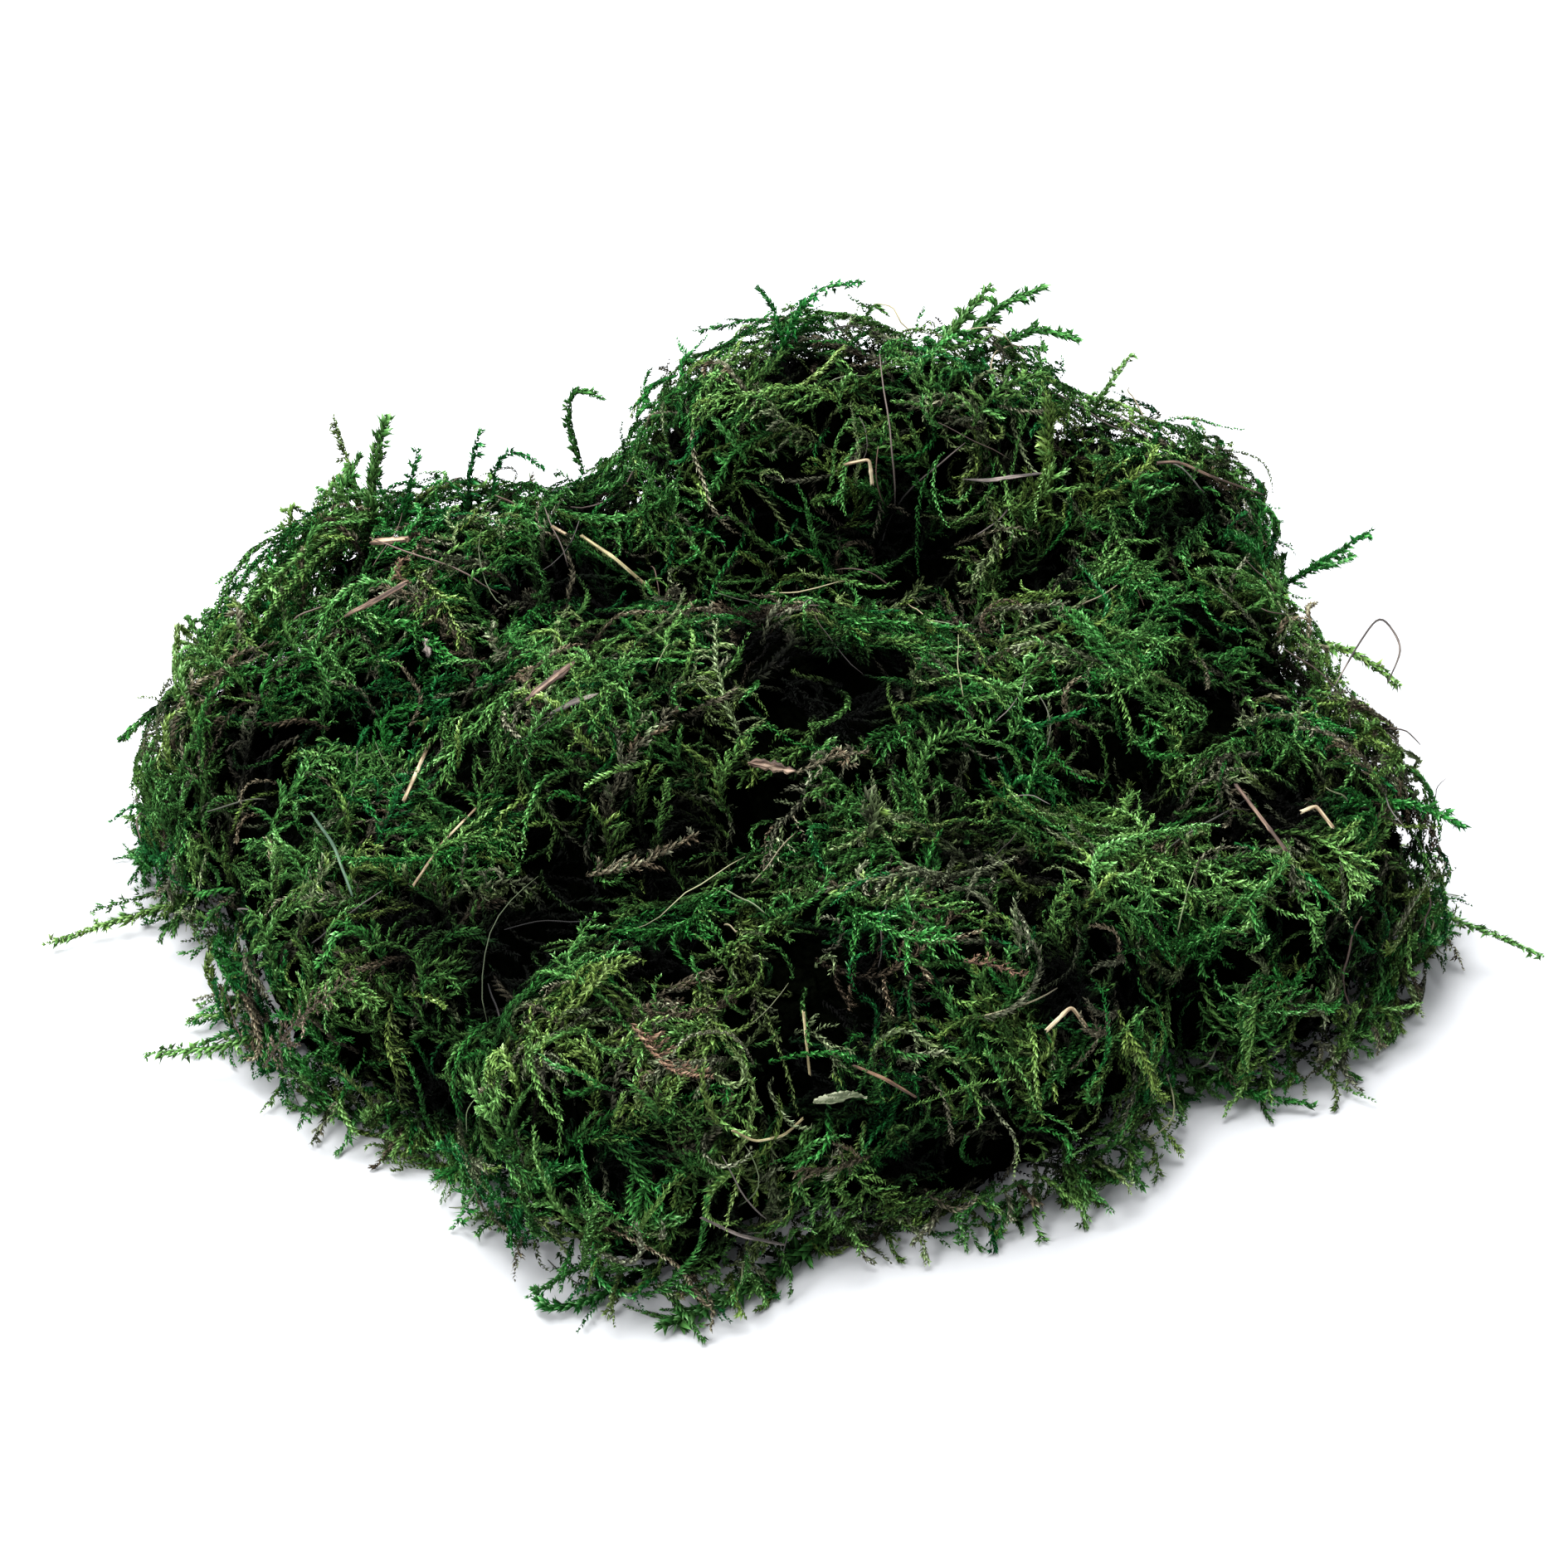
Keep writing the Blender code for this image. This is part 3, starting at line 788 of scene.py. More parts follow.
def laid_stalk(name, node, profile, sides, flat, depth, streak, fineness, rng):
    """A stalk along a packed tube: its widths are the tube's times a profile, its section is
    flattened, and its skin is roughened to a depth, in streaks that many times their width."""
    middles, radii = centreline(node)
    shoot = along_routes([route(middles)], np.array([0]), [0], [0])
    length = shoot.lengths[0]
    share = np.linspace(0, 1, len(profile))
    widths = np.interp(share, np.linspace(0, 1, len(radii)), radii) * profile
    thing = drawn_stalk(sides, list(widths))
    apply_modifier(
        thing, "SUBSURF", subdivision_type="SIMPLE", levels=fineness, render_levels=fineness
    )
    straight = places_of(thing.data) * np.array((1, flat, length))
    shift = rng.uniform(0, 50) * MM
    straight = roughened(straight + np.array((0, 0, shift)), depth, streak)
    straight[:, 2] -= shift
    ends = np.abs(straight[:, 2] / length - 0.5) > 0.49
    jag = noise_at(straight[ends] * np.array((1, 1, 0)), 0.5 * MM, 3.3)
    straight[ends, 2] += 1.1 * MM * jag
    index = np.zeros(len(straight), int)
    share = np.clip(straight[:, 2] / length, 0, 1)
    beyond = straight[:, 2] - share * length
    bent = shoot.bent(index, share, straight[:, 0], straight[:, 1], beyond[:, None])
    set_places(thing.data, bent)
    thing.data.shade_smooth()
    store_grain(thing.data, straight)
    thing.name = name
    return thing


def settle(piece, material, node):
    """Gives a finished piece its material and puts it in the frame in place of its solid."""
    piece.data.materials.clear()
    piece.data.materials.append(material)
    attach(piece, "root")
    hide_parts(node)


# Shader nodes


class Wire:
    """A node's output in a material. Sums and products of wires add Math nodes."""

    def __init__(self, tree, socket=None):
        self.tree, self.socket = tree, socket

    def node(self, kind, settings, sockets, output=0):
        """Adds a node: its settings first, then the values or wires of its sockets."""
        made = self.tree.nodes.new("ShaderNode" + kind)
        for name, value in settings.items():
            if name == "stops":
                self.set_stops(made.color_ramp, value)
            else:
                setattr(made, name, value)
        for name, value in sockets.items():
            if isinstance(value, Wire):
                self.tree.links.new(value.socket, made.inputs[name])
            else:
                made.inputs[name].default_value = value
        return Wire(self.tree, made.outputs[output])

    @staticmethod
    def set_stops(color_ramp, stops):
        elements = color_ramp.elements
        while len(elements) < len(stops):
            elements.new(0.5)
        for element, (position, colour) in zip(elements, stops):
            element.position = position
            element.color = (*colour, 1)

    def mixed(self, first, second, factor):
        """A colour between two others, each a wire or a plain colour."""
        sockets = {0: factor}
        for number, value in ((6, first), (7, second)):
            sockets[number] = value if isinstance(value, Wire) else (*value, 1)
        return self.node("Mix", {"data_type": "RGBA"}, sockets, 2)

    def attribute(self, name, output="Fac"):
        return self.node("Attribute", {"attribute_name": name}, {}, output)

    def place(self):
        return self.node("TexCoord", {}, {}, "Object")

    def noise(self, vector, scale, detail):
        sockets = {"Vector": vector, "Scale": scale, "Detail": detail}
        return self.node("TexNoise", {}, sockets, "Fac")

    def ramp(self, stops):
        """The colour of a ramp at this wire's value."""
        return self.node("ValToRGB", {"stops": stops}, {"Fac": self})

    def scaled(self, colour):
        """A colour times this wire's value."""
        return self.node("VectorMath", {"operation": "SCALE"}, {0: colour, "Scale": self})

    def bump(self, strength, distance):
        sockets = {"Height": self, "Strength": strength, "Distance": distance}
        return self.node("Bump", {}, sockets)

    def maths(self, operation, first, second):
        return self.node("Math", {"operation": operation}, {0: first, 1: second})

    def __add__(self, other):
        return self.maths("ADD", self, other)

    def __rsub__(self, other):
        return self.maths("SUBTRACT", other, self)

    def __mul__(self, other):
        return self.maths("MULTIPLY", self, other)

    __radd__ = __add__
    __rmul__ = __mul__


def new_material(name):
    """An empty material, a wire to start its nodes from and its shader."""
    material = bpy.data.materials.new(name)
    material.use_nodes = True
    tree = material.node_tree
    return material, Wire(tree), tree.nodes["Principled BSDF"]


def feed(shader, **wires):
    """Links wires to the shader's sockets, whose names have spaces for underscores."""
    for name, value in wires.items():
        socket = shader.inputs[name.replace("_", " ")]
        if isinstance(value, Wire):
            value.tree.links.new(value.socket, socket)
        else:
            socket.default_value = value


def leaf_material(settings):
    """Dyed moss leaves: each shoot's own colour, with painted shade and light: dark at the foot of a leaf
    and pale at its tip, which is partly dry tips and partly a painted highlight.
    """
    material, wire, shader = new_material("dyed_moss_leaves")
    dye = wire.attribute("dye")
    tone = wire.attribute("tone")
    patchy = wire.noise(wire.place(), 420.0, 2.0)
    stops = [
        (0.0, settings.teal),
        (0.14, settings.emerald),
        (0.34, settings.forest),
        (0.56, settings.grass_green),
        (0.71, settings.yellow_green),
        (0.80, settings.olive),
        (0.90, settings.drab),
        (1.0, settings.dead_brown),
    ]
    colour = dye.ramp(stops)
    # Pale green mixed in where the shade and tone is high: partly pale dry tips, partly a painted highlight
    # standing in for glints.
    tip = wire.node("MapRange", {}, {"Value": tone, "From Min": 0.5, "From Max": 1.6})
    pale = wire.mixed(colour, settings.pale_tip_and_glint, 0.6 * tip)
    lit = wire.maths("MINIMUM", tone, 1.0)
    strength = lit * (0.55 + 1.3 * patchy)
    dark = strength.scaled(pale)
    feed(shader, Base_Color=dark, Roughness=0.85 - 0.2 * tone, Specular_IOR_Level=0.07)
    return material


def stem_material(settings):
    """Bare stems: brown, grey and straw by turns."""
    material, wire, shader = new_material("bare_moss_stems")
    dye = wire.attribute("dye")
    tone = wire.attribute("tone")
    stops = [
        (0.0, settings.stem_brown),
        (0.45, settings.stem_grey),
        (0.7, settings.olive),
        (1.0, settings.stem_straw),
    ]
    colour = dye.ramp(stops)
    # Painted shade: the stems' shade and tone darkens those deep in the heap (light_at), times a tone that
    # differs at random.
    dark = tone.scaled(colour)
    feed(shader, Base_Color=dark, Roughness=0.75 - 0.15 * tone)
    return material


def felt_shade_material():
    """The matted inside: near black, as painted shade at the bottom of the crevices, with a little brown.
    """
    material, wire, shader = new_material("matted_felt_painted_shade")
    fibres = wire.noise(wire.place(), 900.0, 6.0)
    stops = [(0.35, (0.0002, 0.0003, 0.0002)), (0.75, (0.0012, 0.0016, 0.0008))]
    colour = fibres.ramp(stops)
    bump = fibres.bump(0.8, 0.8 * MM)
    feed(shader, Base_Color=colour, Roughness=0.85 + 0.1 * fibres, Normal=bump)
    feed(shader, Specular_IOR_Level=0.0)
    return material


def fibrous_material(name, dark, middle, light, roughness=0.7):
    """Wood, straw and dead stalks: streaks along the grain, blotches and a fibrous skin."""
    material, wire, shader = new_material(name)
    grain = wire.attribute("grain", "Vector")
    drawn_out = wire.node("Mapping", {}, {"Vector": grain, "Scale": (1.0, 1.0, 0.08)})
    streaks = wire.noise(drawn_out, 1500.0, 6.0)
    blotches = wire.noise(grain, 330.0, 3.0)
    mixed = 0.85 * streaks + 0.25 * blotches
    stops = [(0.49, dark), (0.56, middle), (0.66, light)]
    colour = mixed.ramp(stops)
    bump = streaks.bump(0.7, 0.3 * MM)
    feed(shader, Base_Color=colour, Roughness=roughness + 0.15 * blotches, Normal=bump)
    return material


# Settings


def colour_setting(name, description, default):
    return FloatVectorProperty(
        name=name, description=description, default=default, subtype="COLOR", min=0, max=1
    )


def length_setting(name, description, default):
    return FloatProperty(name=name, description=description, default=default, unit="LENGTH")


def count_setting(name, description, default):
    return IntProperty(name=name, description=description, default=default)


class MossSettings(bpy.types.PropertyGroup):
    """Sizes and colours of the moss."""

    seed: count_setting("Seed", "Which random heap is grown", 11)
    plumes: count_setting("Plumes", "How many comb-like shoots are grown", 1090)
    strands: count_setting("Strands", "How many unbranched leafy shoots are grown", 3000)
    wires: count_setting("Bare stems", "How many are caught in it", 130)
    shoot_length: length_setting("Shoot length", "Of a middling shoot", 0.0205)
    branch_length: length_setting("Branchlet length", "Of a long branchlet", 0.0092)
    branch_pitch: length_setting("Branchlet spacing", "Along one side", 0.0027)
    leaf_pitch: length_setting("Leaf spacing", "Between whorls", 0.00052)
    leaf_size: length_setting("Leaf size", "Scale of a whorl", 0.0013)
    loose_depth: length_setting("Loose depth", "Of open moss over the felt", 0.0085)
    teal: colour_setting("Teal", "Strongest dye", (0.020, 0.25, 0.055))
    emerald: colour_setting("Emerald", "Fresh dye", (0.040, 0.33, 0.050))
    forest: colour_setting("Forest", "Common dark green", (0.095, 0.36, 0.075))
    grass_green: colour_setting("Grass green", "Common light green", (0.21, 0.48, 0.11))
    yellow_green: colour_setting("Yellow green", "Fresh tips", (0.30, 0.49, 0.10))
    olive: colour_setting("Olive", "Faded green", (0.26, 0.36, 0.16))
    drab: colour_setting("Drab", "Undyed, dry", (0.30, 0.32, 0.21))
    dead_brown: colour_setting("Dead brown", "Dead moss", (0.27, 0.205, 0.13))
    # Mixed into the brightest leaves: partly pale dry tips, partly a painted highlight standing in for
    # glints.
    pale_tip_and_glint: colour_setting("Pale tip", "Dry leaf tips", (0.48, 0.62, 0.40))
    stem_brown: colour_setting("Stem brown", "Bare stems", (0.16, 0.085, 0.06))
    stem_grey: colour_setting("Stem grey", "Bare stems", (0.17, 0.155, 0.14))
    stem_straw: colour_setting("Stem straw", "Bare stems", (0.50, 0.42, 0.26))


class StageSettings(bpy.types.PropertyGroup):
    """Camera and light."""

    elevation: FloatProperty(
        name="Elevation", description="Of the view", default=math.radians(38), subtype="ANGLE"
    )
    distance: length_setting("Distance", "From camera to heap", 0.66)
    lens: FloatProperty(name="Lens", description="Focal length in mm", default=85)


# Makers


FRINGE_COUNT = 600
MAT_COUNT = 1000
LACE_COUNT = 80
ROOT_DEPTH = 4  # of the lace's and the fringe's feet, in mm


class MOSS_OT_wads(bpy.types.Operator):
    """Grow the shoots of every wad of moss over its felt, coloured near black as painted shade"""

    bl_idname = "moss.wads"
    bl_label = "Grow the wads"

    def execute(self, context):
        settings = context.scene.moss
        self.rng = rng = np.random.default_rng(settings.seed)
        self.heap = heap = Heap()
        self.thinned = 1.0
        leaves, stems = Growth(whorl()), Growth(wire())
        self.grow_plumes(settings, leaves, int(settings.plumes * self.thinned))
        self.grow_strands(settings, leaves, int(settings.strands * self.thinned))
        self.grow_strays(settings, leaves)
        self.grow_lace(settings, leaves)
        self.grow_fringe(settings, leaves, int(FRINGE_COUNT * self.thinned))
        self.grow_mat(settings, leaves)
        self.grow_wires(settings, stems, int(settings.wires * self.thinned))
        materials = leaf_material(settings), stem_material(settings), felt_shade_material()
        for number, wad in enumerate(WADS):
            pieces = []
            for growth, material in zip((leaves, stems), materials):
                mesh = growth.mesh(wad, number)
                mesh.materials.append(material)
                piece = bpy.data.objects.new(wad + "_shoots", mesh)
                context.scene.collection.objects.link(piece)
                pieces.append(piece)
            core = felt_core(heap, wad, settings.loose_depth)
            core.data.materials.clear()
            core.data.materials.append(materials[2])
            pick(*pieces, core)
            bpy.ops.object.join()
            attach(pieces[0], "root")
            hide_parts(wad)
        bpy.data.objects.remove(heap.skin)
        return {"FINISHED"}

    def depths(self, count):
        """Depths of many shoots where they are rooted, at their middle and at their tip."""
        rng = self.rng
        under = rng.random(count) < 0.3
        middle = np.where(under, rng.uniform(4, 7, count), rng.uniform(-1, 4, count)) * MM
        base = middle + rng.uniform(2, 5, count) * MM
        tip = np.maximum(middle + rng.normal(0, 2, count) * MM, -3 * MM)
        return base, middle, tip

    def dress(self, leaves, paths, outward, lengths, roots, girths, spread, sparse=1.0):
        """Shoots along paths, with leaves on them. Girths are a range, in leaf sizes."""
        settings = bpy.context.scene.moss
        girth = settings.leaf_size * self.rng.uniform(*girths, len(paths))
        dye = patch_dye(roots, self.rng, spread)
        stems = Shoots(paths, outward, lengths, wad_at(roots), dye, girth)
        leaf_out(leaves, stems, sparse * settings.leaf_pitch, self.heap, self.rng)
        return stems

    def grow_plumes(self, settings, leaves, count):
        rng, heap = self.rng, self.heap
        lengths = settings.shoot_length * np.clip(rng.lognormal(0, 0.3, count), 0.5, 1.8)
        paths, outward, tautness = grow_stems(heap, count, rng, lengths, *self.depths(count), 0.7)
        stems = self.dress(leaves, paths, outward, lengths, paths[:, STEM_STEPS // 2], (0.85, 1.15), 0.15)
        branches = branch_out(
            heap, stems, tautness, settings.branch_pitch, settings.branch_length, rng
        )
        leaf_out(leaves, branches, settings.leaf_pitch, heap, rng)

    def grow_strands(self, settings, leaves, count):
        rng, heap = self.rng, self.heap
        lengths = settings.shoot_length * 0.6 * np.clip(rng.lognormal(0, 0.4, count), 0.35, 2)
        paths, outward, _ = grow_stems(heap, count, rng, lengths, *self.depths(count), 2.0)
        self.dress(leaves, paths, outward, lengths, paths[:, STEM_STEPS // 2], (0.7, 1.2), 0.22)

    def grow_strays(self, settings, leaves):
        """The sprigs that stand clear of the heap, where STRAYS says."""
        for points, dye, branch, girth in STRAYS:
            path = route(np.array(points) * MM, STEM_STEPS)
            stem = along_routes([path], wad_at(path[:1]), [dye], [1.5 * girth * settings.leaf_size])
            leaf_out(leaves, stem, settings.leaf_pitch, self.heap, self.rng)
            twigs = branch_out(
                None, stem, None, 0.8 * settings.branch_pitch, 1.4 * branch * MM, self.rng, 0.55
            )
            leaf_out(leaves, twigs, settings.leaf_pitch, self.heap, self.rng)

    def grow_lace(self, settings, leaves, count=LACE_COUNT):
        """Thin sprigs that arch from one place on the rim to another, and can be seen through."""
        rng = self.rng
        line = route(np.array(LACE) * MM, 60)
        starts, normals = scatter(self.heap, 100 * count, rng)
        gaps = np.linalg.norm(starts[:, None] - line, axis=2).min(axis=1)
        near = gaps < 10 * MM
        starts, normals = starts[near][:count], normals[near][:count]
        count = len(starts)
        along_rim = np.argsort(starts[:, 1])
        starts, normals = starts[along_rim], normals[along_rim]
        ends = starts[(np.arange(count) + rng.integers(5, 22, count)) % count]
        raised = (starts + ends) / 2 + rng.uniform(3, 10, (count, 1)) * MM * unit(
            normals + rng.normal((-0.1, 0.1, 0.9), 0.35, (count, 3))
        )
        feet = starts - normals * ROOT_DEPTH * MM
        paths = [route(points, STEM_STEPS) for points in np.stack([feet, starts, raised, ends], axis=1)]
        dye = patch_dye(starts, rng, 0.2)
        girth = settings.leaf_size * rng.uniform(0.8, 1.3, count)
        stems = along_routes(paths, wad_at(starts), dye, girth)
        leaf_out(leaves, stems, settings.leaf_pitch, self.heap, rng)
        twigs = branch_out(None, stems, None, 3 * settings.branch_pitch, 4.5 * MM, rng, 0.7)
        leaf_out(leaves, twigs, settings.leaf_pitch, self.heap, rng)

    def grow_fringe(self, settings, leaves, count):
        """Short shoots that reach out round the foot of the heap and sink to the floor."""
        rng = self.rng
        starts, normals = scatter(self.heap, 8 * count, rng)
        low = (starts[:, 2] < 9 * MM) & (starts[:, 2] > 1 * MM)
        starts, normals = starts[low][:count], normals[low][:count]
        count = len(starts)
        starts = starts - normals * ROOT_DEPTH * MM
        aside = np.cross(normals, (0.0, 0.0, 1.0)) * rng.normal(0, 0.9, (count, 1))
        heading = unit(normals + aside + np.array((0, 0, 0.2)))
        upward = square_to(np.tile((0.0, 0.0, 1.0), (count, 1)), heading)
        lengths = rng.uniform(6, 13, count) * MM
        bends = rng.normal(0, 0.13, (count, 1)) + rng.normal(0, 0.12, (count, 10))
        droop = rng.uniform(0.02, 0.2, count)
        paths, outward = grow_free(starts, heading, upward, lengths, bends, droop)
        stems = self.dress(leaves, paths, outward, lengths, starts, (0.8, 1.2), 0.18)
        twigs = branch_out(None, stems, None, 2 * settings.branch_pitch, 3.5 * MM, rng)
        leaf_out(leaves, twigs, settings.leaf_pitch, self.heap, rng)

    def grow_mat(self, settings, leaves, count=MAT_COUNT):
        """Shoots pressed flat under the heap, where it rests."""
        rng, heap = self.rng, self.heap
        low, high = np.array(CAD_BOX)
        starts = rng.uniform(low, high, (4 * count, 3))
        starts[:, 2] = rng.uniform(0.9, 2.4, len(starts)) * MM
        starts = starts[heap.snug.at(starts)[:, 0] > 5 * MM][:count]
        count = len(starts)
        angle = rng.uniform(0, 2 * math.pi, count)
        heading = np.stack([np.cos(angle), np.sin(angle), np.zeros(count)], axis=1)
        normals = np.tile((0.0, 0.0, -1.0), (count, 1))
        lengths = rng.uniform(8, 18, count) * MM
        bends = rng.normal(0, 0.15, (count, 1)) + rng.normal(0, 0.12, (count, 10))
        paths, outward = grow_free(starts, heading, normals, lengths, bends, np.zeros(count))
        self.dress(leaves, paths, outward, lengths, starts, (0.8, 1.2), 0.2, 1.3)

    def grow_wires(self, settings, stems, count):
        rng, heap = self.rng, self.heap
        lengths = np.clip(rng.lognormal(2.4, 0.45, count), 5, 30) * MM
        base = rng.uniform(1, 4, count) * MM
        middle = rng.uniform(-1.2, 2, count) * MM
        tip = rng.uniform(-2.5, 3, count) * MM
        paths, outward, _ = grow_stems(
            heap, count, rng, lengths, base, middle, tip, 2.0, 0.0, 0.05
        )
        girth = rng.uniform(0.08, 0.22, count) * MM
        wires = Shoots(paths, outward, lengths, wad_at(paths[:, STEM_STEPS // 2]), rng.random(count), girth)
        wire_out(stems, wires, heap, rng)


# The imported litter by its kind.
TWIGS = ("thick_twig", "split_twig", "long_twig", "knobbly_twig")
STRAWS = (
    "stick_stub", "leaning_straw", "left_straw", "long_straw", "short_straw", "bent_straw",
    "right_straw", "hooked_straw", "forked_straw", "grass_culm", "curved_stalk",
)
THREADS = ("green_needle", "pale_needle", "red_needle", "root_fibre", "root_loop")
FRONDS = ("brown_frond", "curled_frond", "rust_sprig", "curled_strip")
CHIPS = ("bark_chip", "bark_flake", "grass_leaf")

# Dark, middle and light colour of each slot.
LITTER_COLOURS = {
    "brown_wood": ((0.045, 0.026, 0.018), (0.15, 0.092, 0.064), (0.34, 0.25, 0.18)),
    "grey_bark": ((0.05, 0.042, 0.038), (0.17, 0.14, 0.12), (0.34, 0.29, 0.26)),
    "pale_straw": ((0.16, 0.11, 0.06), (0.46, 0.38, 0.24), (0.74, 0.66, 0.47)),
    "dry_grass": ((0.16, 0.13, 0.06), (0.40, 0.35, 0.18), (0.62, 0.58, 0.36)),
    "green_needle": ((0.03, 0.07, 0.04), (0.08, 0.15, 0.09), (0.20, 0.27, 0.17)),
    "russet_moss": ((0.05, 0.026, 0.014), (0.17, 0.092, 0.050), (0.32, 0.21, 0.13)),
    "brown_moss": ((0.05, 0.035, 0.02), (0.17, 0.12, 0.08), (0.33, 0.27, 0.19)),
}

# Pieces that differ from the rest of their slot.
OWN_COLOURS = {
    "stick_stub": ((0.05, 0.03, 0.018), (0.22, 0.14, 0.085), (0.52, 0.40, 0.27)),
    "grass_leaf": ((0.06, 0.08, 0.035), (0.17, 0.20, 0.11), (0.36, 0.38, 0.26)),
}


def litter_material(node):
    """A piece's own material, or the one of its slot, made when it is first asked for."""
    slot = SLOTS[node]
    own = node in OWN_COLOURS
    name = (node if own else slot) + "_fibres"
    colours = OWN_COLOURS[node] if own else LITTER_COLOURS[slot]
    return bpy.data.materials.get(name) or fibrous_material(name, *colours)


def frond_material(slot):
    """Dead leafy moss: its shade and tone runs from the foot of each leaf, dark there as painted shade, to
    its tip, and leaves that face outward are lighter, as painted light.
    """
    name = slot + "_leaves"
    if name in bpy.data.materials:
        return bpy.data.materials[name]
    material, wire, shader = new_material(name)
    tone = wire.attribute("tone")
    patchy = wire.noise(wire.place(), 500.0, 3.0)
    dark, middle, light = LITTER_COLOURS[slot]
    stops = [(0.1, dark), (0.45, middle), (0.9, light)]
    colour = (tone * (0.5 + patchy)).ramp(stops)
    feed(shader, Base_Color=colour, Roughness=0.85 - 0.2 * tone)
    return material


def lay_stalks(nodes, ending, seed, profile_of, *look):
    """Models a stalk along each packed tube, with widths by chance from profile_of."""
    rng = np.random.default_rng(seed)
    for node in nodes:
        stalk = laid_stalk(node + ending, node, profile_of(rng), *look, rng)
        settle(stalk, litter_material(node), node)


def twig_profile(rng, rings=15):
    """Thickest in the middle, with one knot."""
    profile = 1 + rng.normal(0, 0.08, rings) - 0.6 * np.abs(np.linspace(-1, 1, rings)) ** 3
    profile[rng.integers(3, rings - 3)] += 0.2
    return 0.8 * profile


def straw_profile(rng, rings=17):
    """Even, with one joint."""
    profile = 1 + rng.normal(0, 0.03, rings)
    joint = rng.integers(4, rings - 4)
    profile[joint] += 0.22
    profile[joint + 1] -= 0.08
    return profile


def thread_profile(rng, rings=15):
    """Thin towards both ends."""
    profile = np.sin(np.linspace(0.45, math.pi - 0.35, rings)) ** 0.5
    return profile * (1 + rng.normal(0, 0.06, rings))


class MOSS_OT_twigs(bpy.types.Operator):
    """Model the woody twigs, with knots, bark grooves and broken ends"""

    bl_idname = "moss.twigs"
    bl_label = "Model the twigs"

    def execute(self, context):
        lay_stalks(TWIGS, "_bark", 3, twig_profile, 11, 0.5, 0.35, 12, 2)
        return {"FINISHED"}


class MOSS_OT_straws(bpy.types.Operator):
    """Model the straws and dry stalks, with joints and split ends"""

    bl_idname = "moss.straws"
    bl_label = "Model the straws"

    def execute(self, context):
        lay_stalks(STRAWS, "_stalk", 5, straw_profile, 8, 0.7, 0.08, 20, 1)
        return {"FINISHED"}


class MOSS_OT_threads(bpy.types.Operator):
    """Model the needles and root fibres, which thin towards both ends"""

    bl_idname = "moss.threads"
    bl_label = "Model the needles and roots"

    def execute(self, context):
        lay_stalks(THREADS, "_thread", 7, thread_profile, 6, 0.9, 0.1, 12, 1)
        return {"FINISHED"}


# The size of each dead frond's leaves and its longest branchlet, in mm.
FROND_SIZES = {"brown_frond": (1.0, 7.5), "other": (1.25, 3.5)}
FROND_LEAF_PITCH = 0.6 * MM
FROND_BRANCH_PITCH = 2.4 * MM


class MOSS_OT_fronds(bpy.types.Operator):
    """Grow the dead brown and russet fronds"""

    bl_idname = "moss.fronds"
    bl_label = "Grow the dead fronds"

    def execute(self, context):
        rng = np.random.default_rng(9)
        for node in FRONDS:
            size, longest = FROND_SIZES.get(node, FROND_SIZES["other"])
            path = route(centreline(node)[0])
            stem = along_routes([path], np.array([0]), [1], [size * MM])
            leaves = Growth(whorl())
            leaf_out(leaves, stem, FROND_LEAF_PITCH, None, rng)
            branches = branch_out(None, stem, None, FROND_BRANCH_PITCH, longest * MM, rng)
            leaf_out(leaves, branches, FROND_LEAF_PITCH, None, rng)
            mesh = leaves.mesh(node, 0)
            frond = bpy.data.objects.new(node + "_leaves", mesh)
            context.scene.collection.objects.link(frond)
            settle(frond, frond_material(SLOTS[node]), node)
        return {"FINISHED"}


CHIP_LEVELS = 4
LEAF_LEVELS = 2


def ribs_and_fold(grain):
    """How far each place on the dry leaf is pushed out, by where it is across and along it."""
    ribs = 0.12 * MM * np.cos(grain[:, 0] / (0.07 * MM))
    return ribs + (0.7 * MM * noise_at(grain, 2.5 * MM) - 0.3 * np.abs(grain[:, 0]))


def fibres_and_lumps(grain):
    """How far each place on a chip is pushed out."""
    fibres = 0.25 * MM * noise_at(grain / np.array((1, 1, 5)), 0.5 * MM)
    return fibres + 0.3 * MM * noise_at(grain, 1.6 * MM, 7.0)


def narrowing(grain):
    """A chip's width at each place, over its solid's: uneven, and least at the ends."""
    along = grain[:, 2] / np.abs(grain[:, 2]).max()
    narrow = 0.7 + 0.9 * noise_at(grain * np.array((0.2, 0, 1)), 0.8 * MM, 2.0)
    return narrow * (1 - 0.5 * np.abs(along) ** 3)


class MOSS_OT_chips(bpy.types.Operator):
    """Roughen the chips of bark and rib the dry leaf"""

    bl_idname = "moss.chips"
    bl_label = "Model the bark chips and the leaf"

    def execute(self, context):
        for node in CHIPS:
            chip = copy_of_node(node)
            is_leaf = node == "grass_leaf"
            levels = LEAF_LEVELS if is_leaf else CHIP_LEVELS
            apply_modifier(
                chip, "SUBSURF", subdivision_type="SIMPLE", levels=levels, render_levels=levels
            )
            places = places_of(chip.data)
            middle = places.mean(axis=0)
            axes = np.linalg.svd(places - middle, full_matrices=False)[2]
            grain = (places - middle) @ axes.T
            grain = grain[:, [1, 2, 0]]
            if not is_leaf:
                places = places + (narrowing(grain) - 1)[:, None] * grain[:, :1] * axes[1]
            push = ribs_and_fold(grain) if is_leaf else fibres_and_lumps(grain)
            normals = np.empty(len(places) * 3)
            chip.data.vertices.foreach_get("normal", normals)
            set_places(chip.data, places + normals.reshape(-1, 3) * push[:, None])
            chip.data.shade_smooth()
            store_grain(chip.data, grain)
            chip.name = node + "_surface"
            settle(chip, litter_material(node), node)
        return {"FINISHED"}


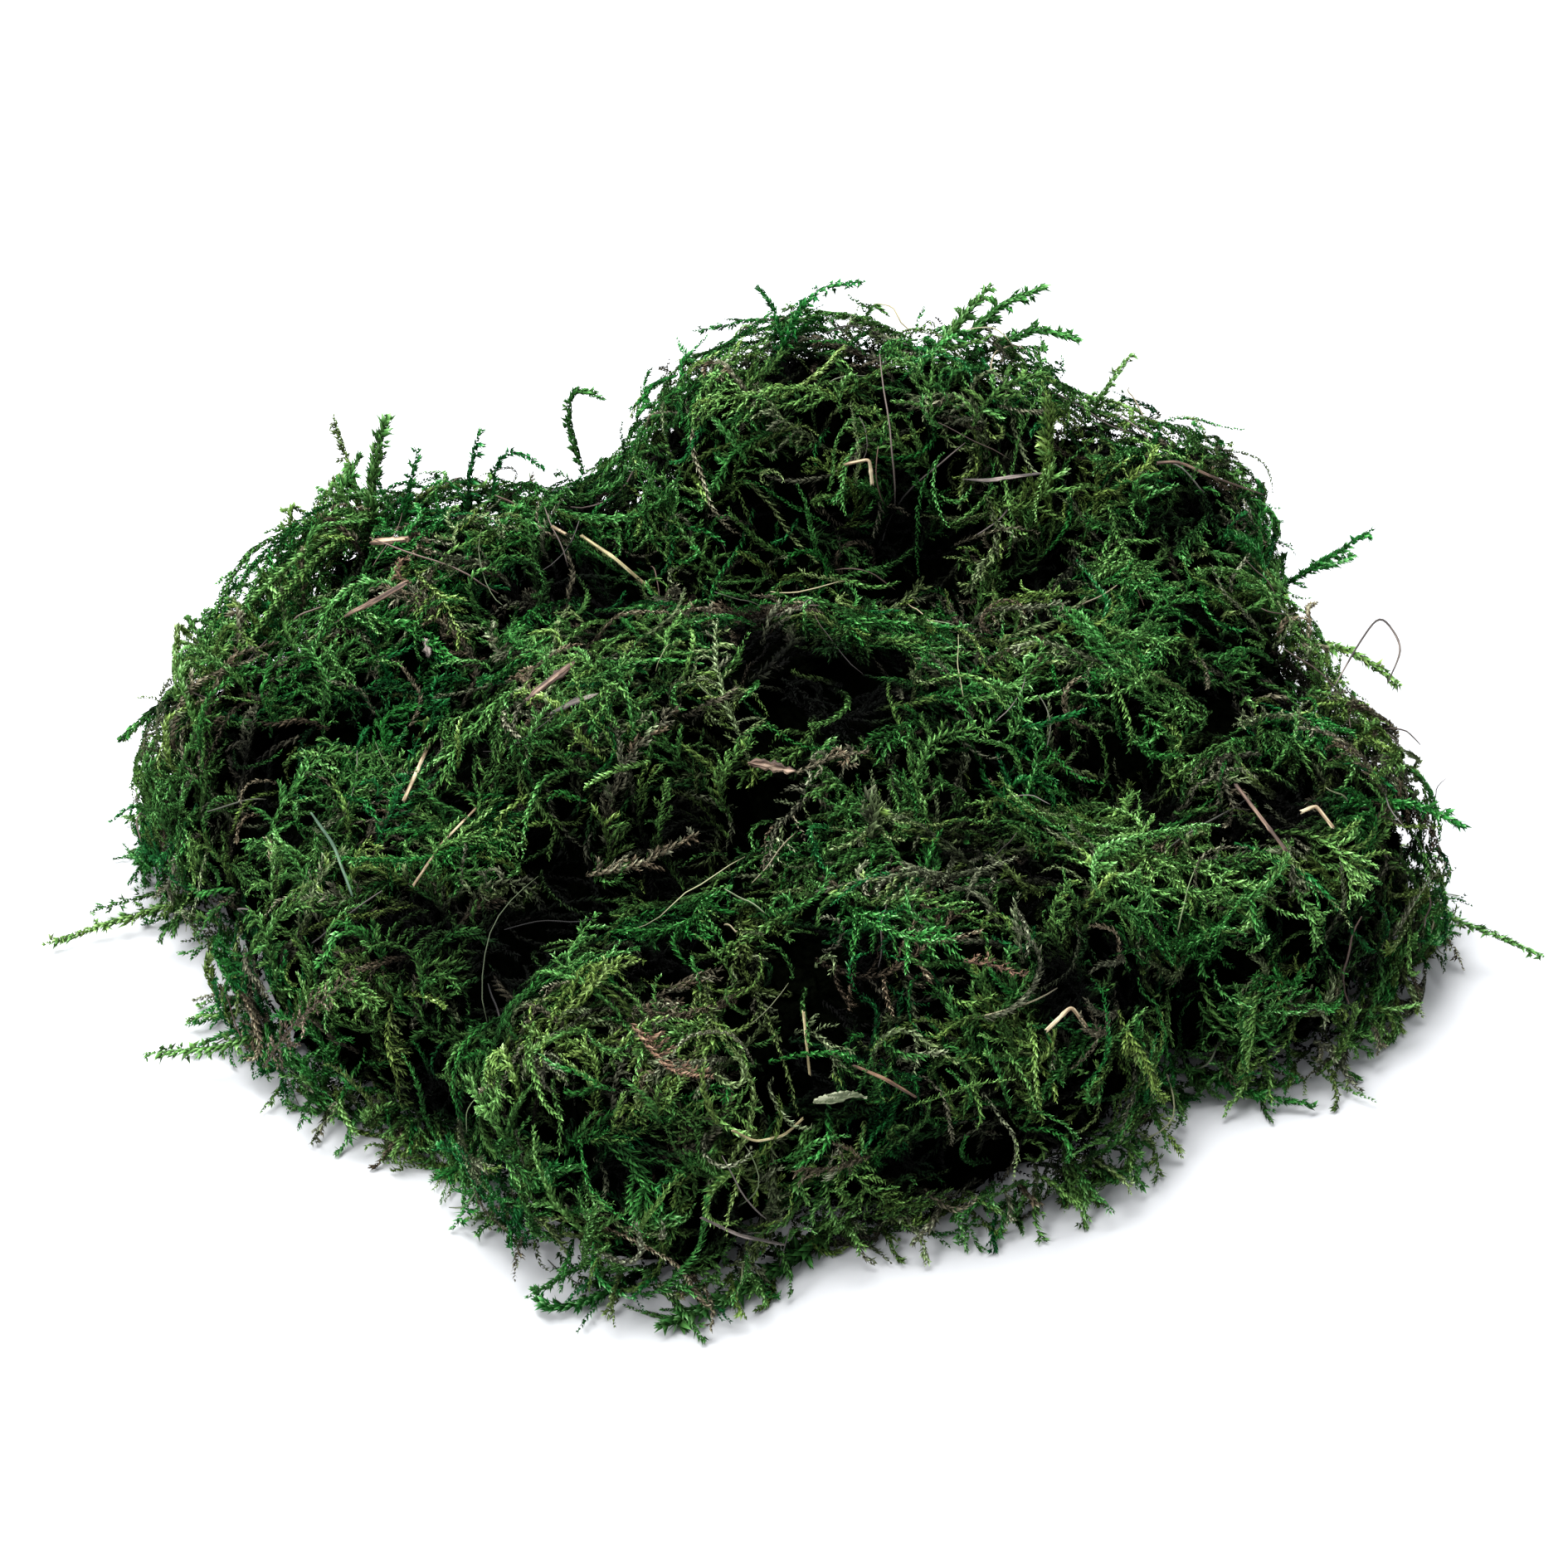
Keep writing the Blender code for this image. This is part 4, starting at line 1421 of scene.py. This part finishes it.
CAMERA_TARGET = Vector((0, 8.2 * MM, 24 * MM))
SENSOR_WIDTH = 36
FLOOR_SIZE = 8
PAPER = (0.62, 0.63, 0.65, 1)
SKY = (0.95, 0.97, 1, 1)
SKY_STRENGTH = 0.45
# Each lamp's place, size in metres and power in watts.
LAMPS = {
    "overhead": ((-0.15, 0.25, 0.95), 0.8, 25),
    "front_left": ((-0.8, -0.7, 0.8), 0.5, 13),
}


class MOSS_OT_stage(bpy.types.Operator):
    """Set up the pale floor, the soft light and the camera"""

    bl_idname = "moss.stage"
    bl_label = "Set the stage"

    def execute(self, context):
        scene = context.scene
        stage = scene.moss_stage
        bpy.ops.object.select_all(action="DESELECT")
        bpy.ops.mesh.primitive_plane_add(size=FLOOR_SIZE)
        floor = context.object
        floor.name = "floor"
        material, _, shader = new_material("white_paper")
        feed(shader, Base_Color=PAPER, Roughness=0.9)
        floor.data.materials.append(material)
        world = bpy.data.worlds.new("studio")
        world.use_nodes = True
        background = world.node_tree.nodes["Background"]
        background.inputs["Color"].default_value = SKY
        background.inputs["Strength"].default_value = SKY_STRENGTH
        scene.world = world
        for name, lamp in LAMPS.items():
            self.add_light(name, *lamp)
        self.add_camera(scene, stage)
        scene.view_settings.view_transform = "Standard"
        return {"FINISHED"}

    def add_light(self, name, place, size, power):
        bpy.ops.object.light_add(type="AREA", location=place)
        lamp = bpy.context.object
        lamp.name = name
        lamp.data.size = size
        lamp.data.energy = power
        lamp.rotation_euler = (-Vector(place)).to_track_quat("-Z", "Y").to_euler()

    def add_camera(self, scene, stage):
        back = Vector((0, -math.cos(stage.elevation), math.sin(stage.elevation)))
        bpy.ops.object.camera_add(location=CAMERA_TARGET + back * stage.distance)
        camera = bpy.context.object
        camera.rotation_euler = (math.pi / 2 - stage.elevation, 0, 0)
        camera.data.lens = stage.lens
        camera.data.sensor_width = SENSOR_WIDTH
        scene.camera = camera


MAKERS = (
    MOSS_OT_stage,
    MOSS_OT_wads,
    MOSS_OT_twigs,
    MOSS_OT_straws,
    MOSS_OT_threads,
    MOSS_OT_fronds,
    MOSS_OT_chips,
)


class MOSS_PT_panel(bpy.types.Panel):
    """The moss clump's makers, in the order they run"""

    bl_label = "Moss clump"
    bl_space_type = "VIEW_3D"
    bl_region_type = "UI"
    bl_category = "Moss"

    def draw(self, context):
        for maker in MAKERS:
            self.layout.operator(maker.bl_idname)


CLASSES = (MossSettings, StageSettings, *MAKERS, MOSS_PT_panel)


def register():
    for kind in CLASSES:
        bpy.utils.register_class(kind)
    bpy.types.Scene.moss = PointerProperty(type=MossSettings)
    bpy.types.Scene.moss_stage = PointerProperty(type=StageSettings)


def unregister():
    del bpy.types.Scene.moss_stage
    del bpy.types.Scene.moss
    for kind in reversed(CLASSES):
        bpy.utils.unregister_class(kind)


def main():
    register()
    bpy.ops.moss.stage()
    bpy.ops.moss.wads()
    bpy.ops.moss.twigs()
    bpy.ops.moss.straws()
    bpy.ops.moss.threads()
    bpy.ops.moss.fronds()
    bpy.ops.moss.chips()


if __name__ == "__main__":
    main()
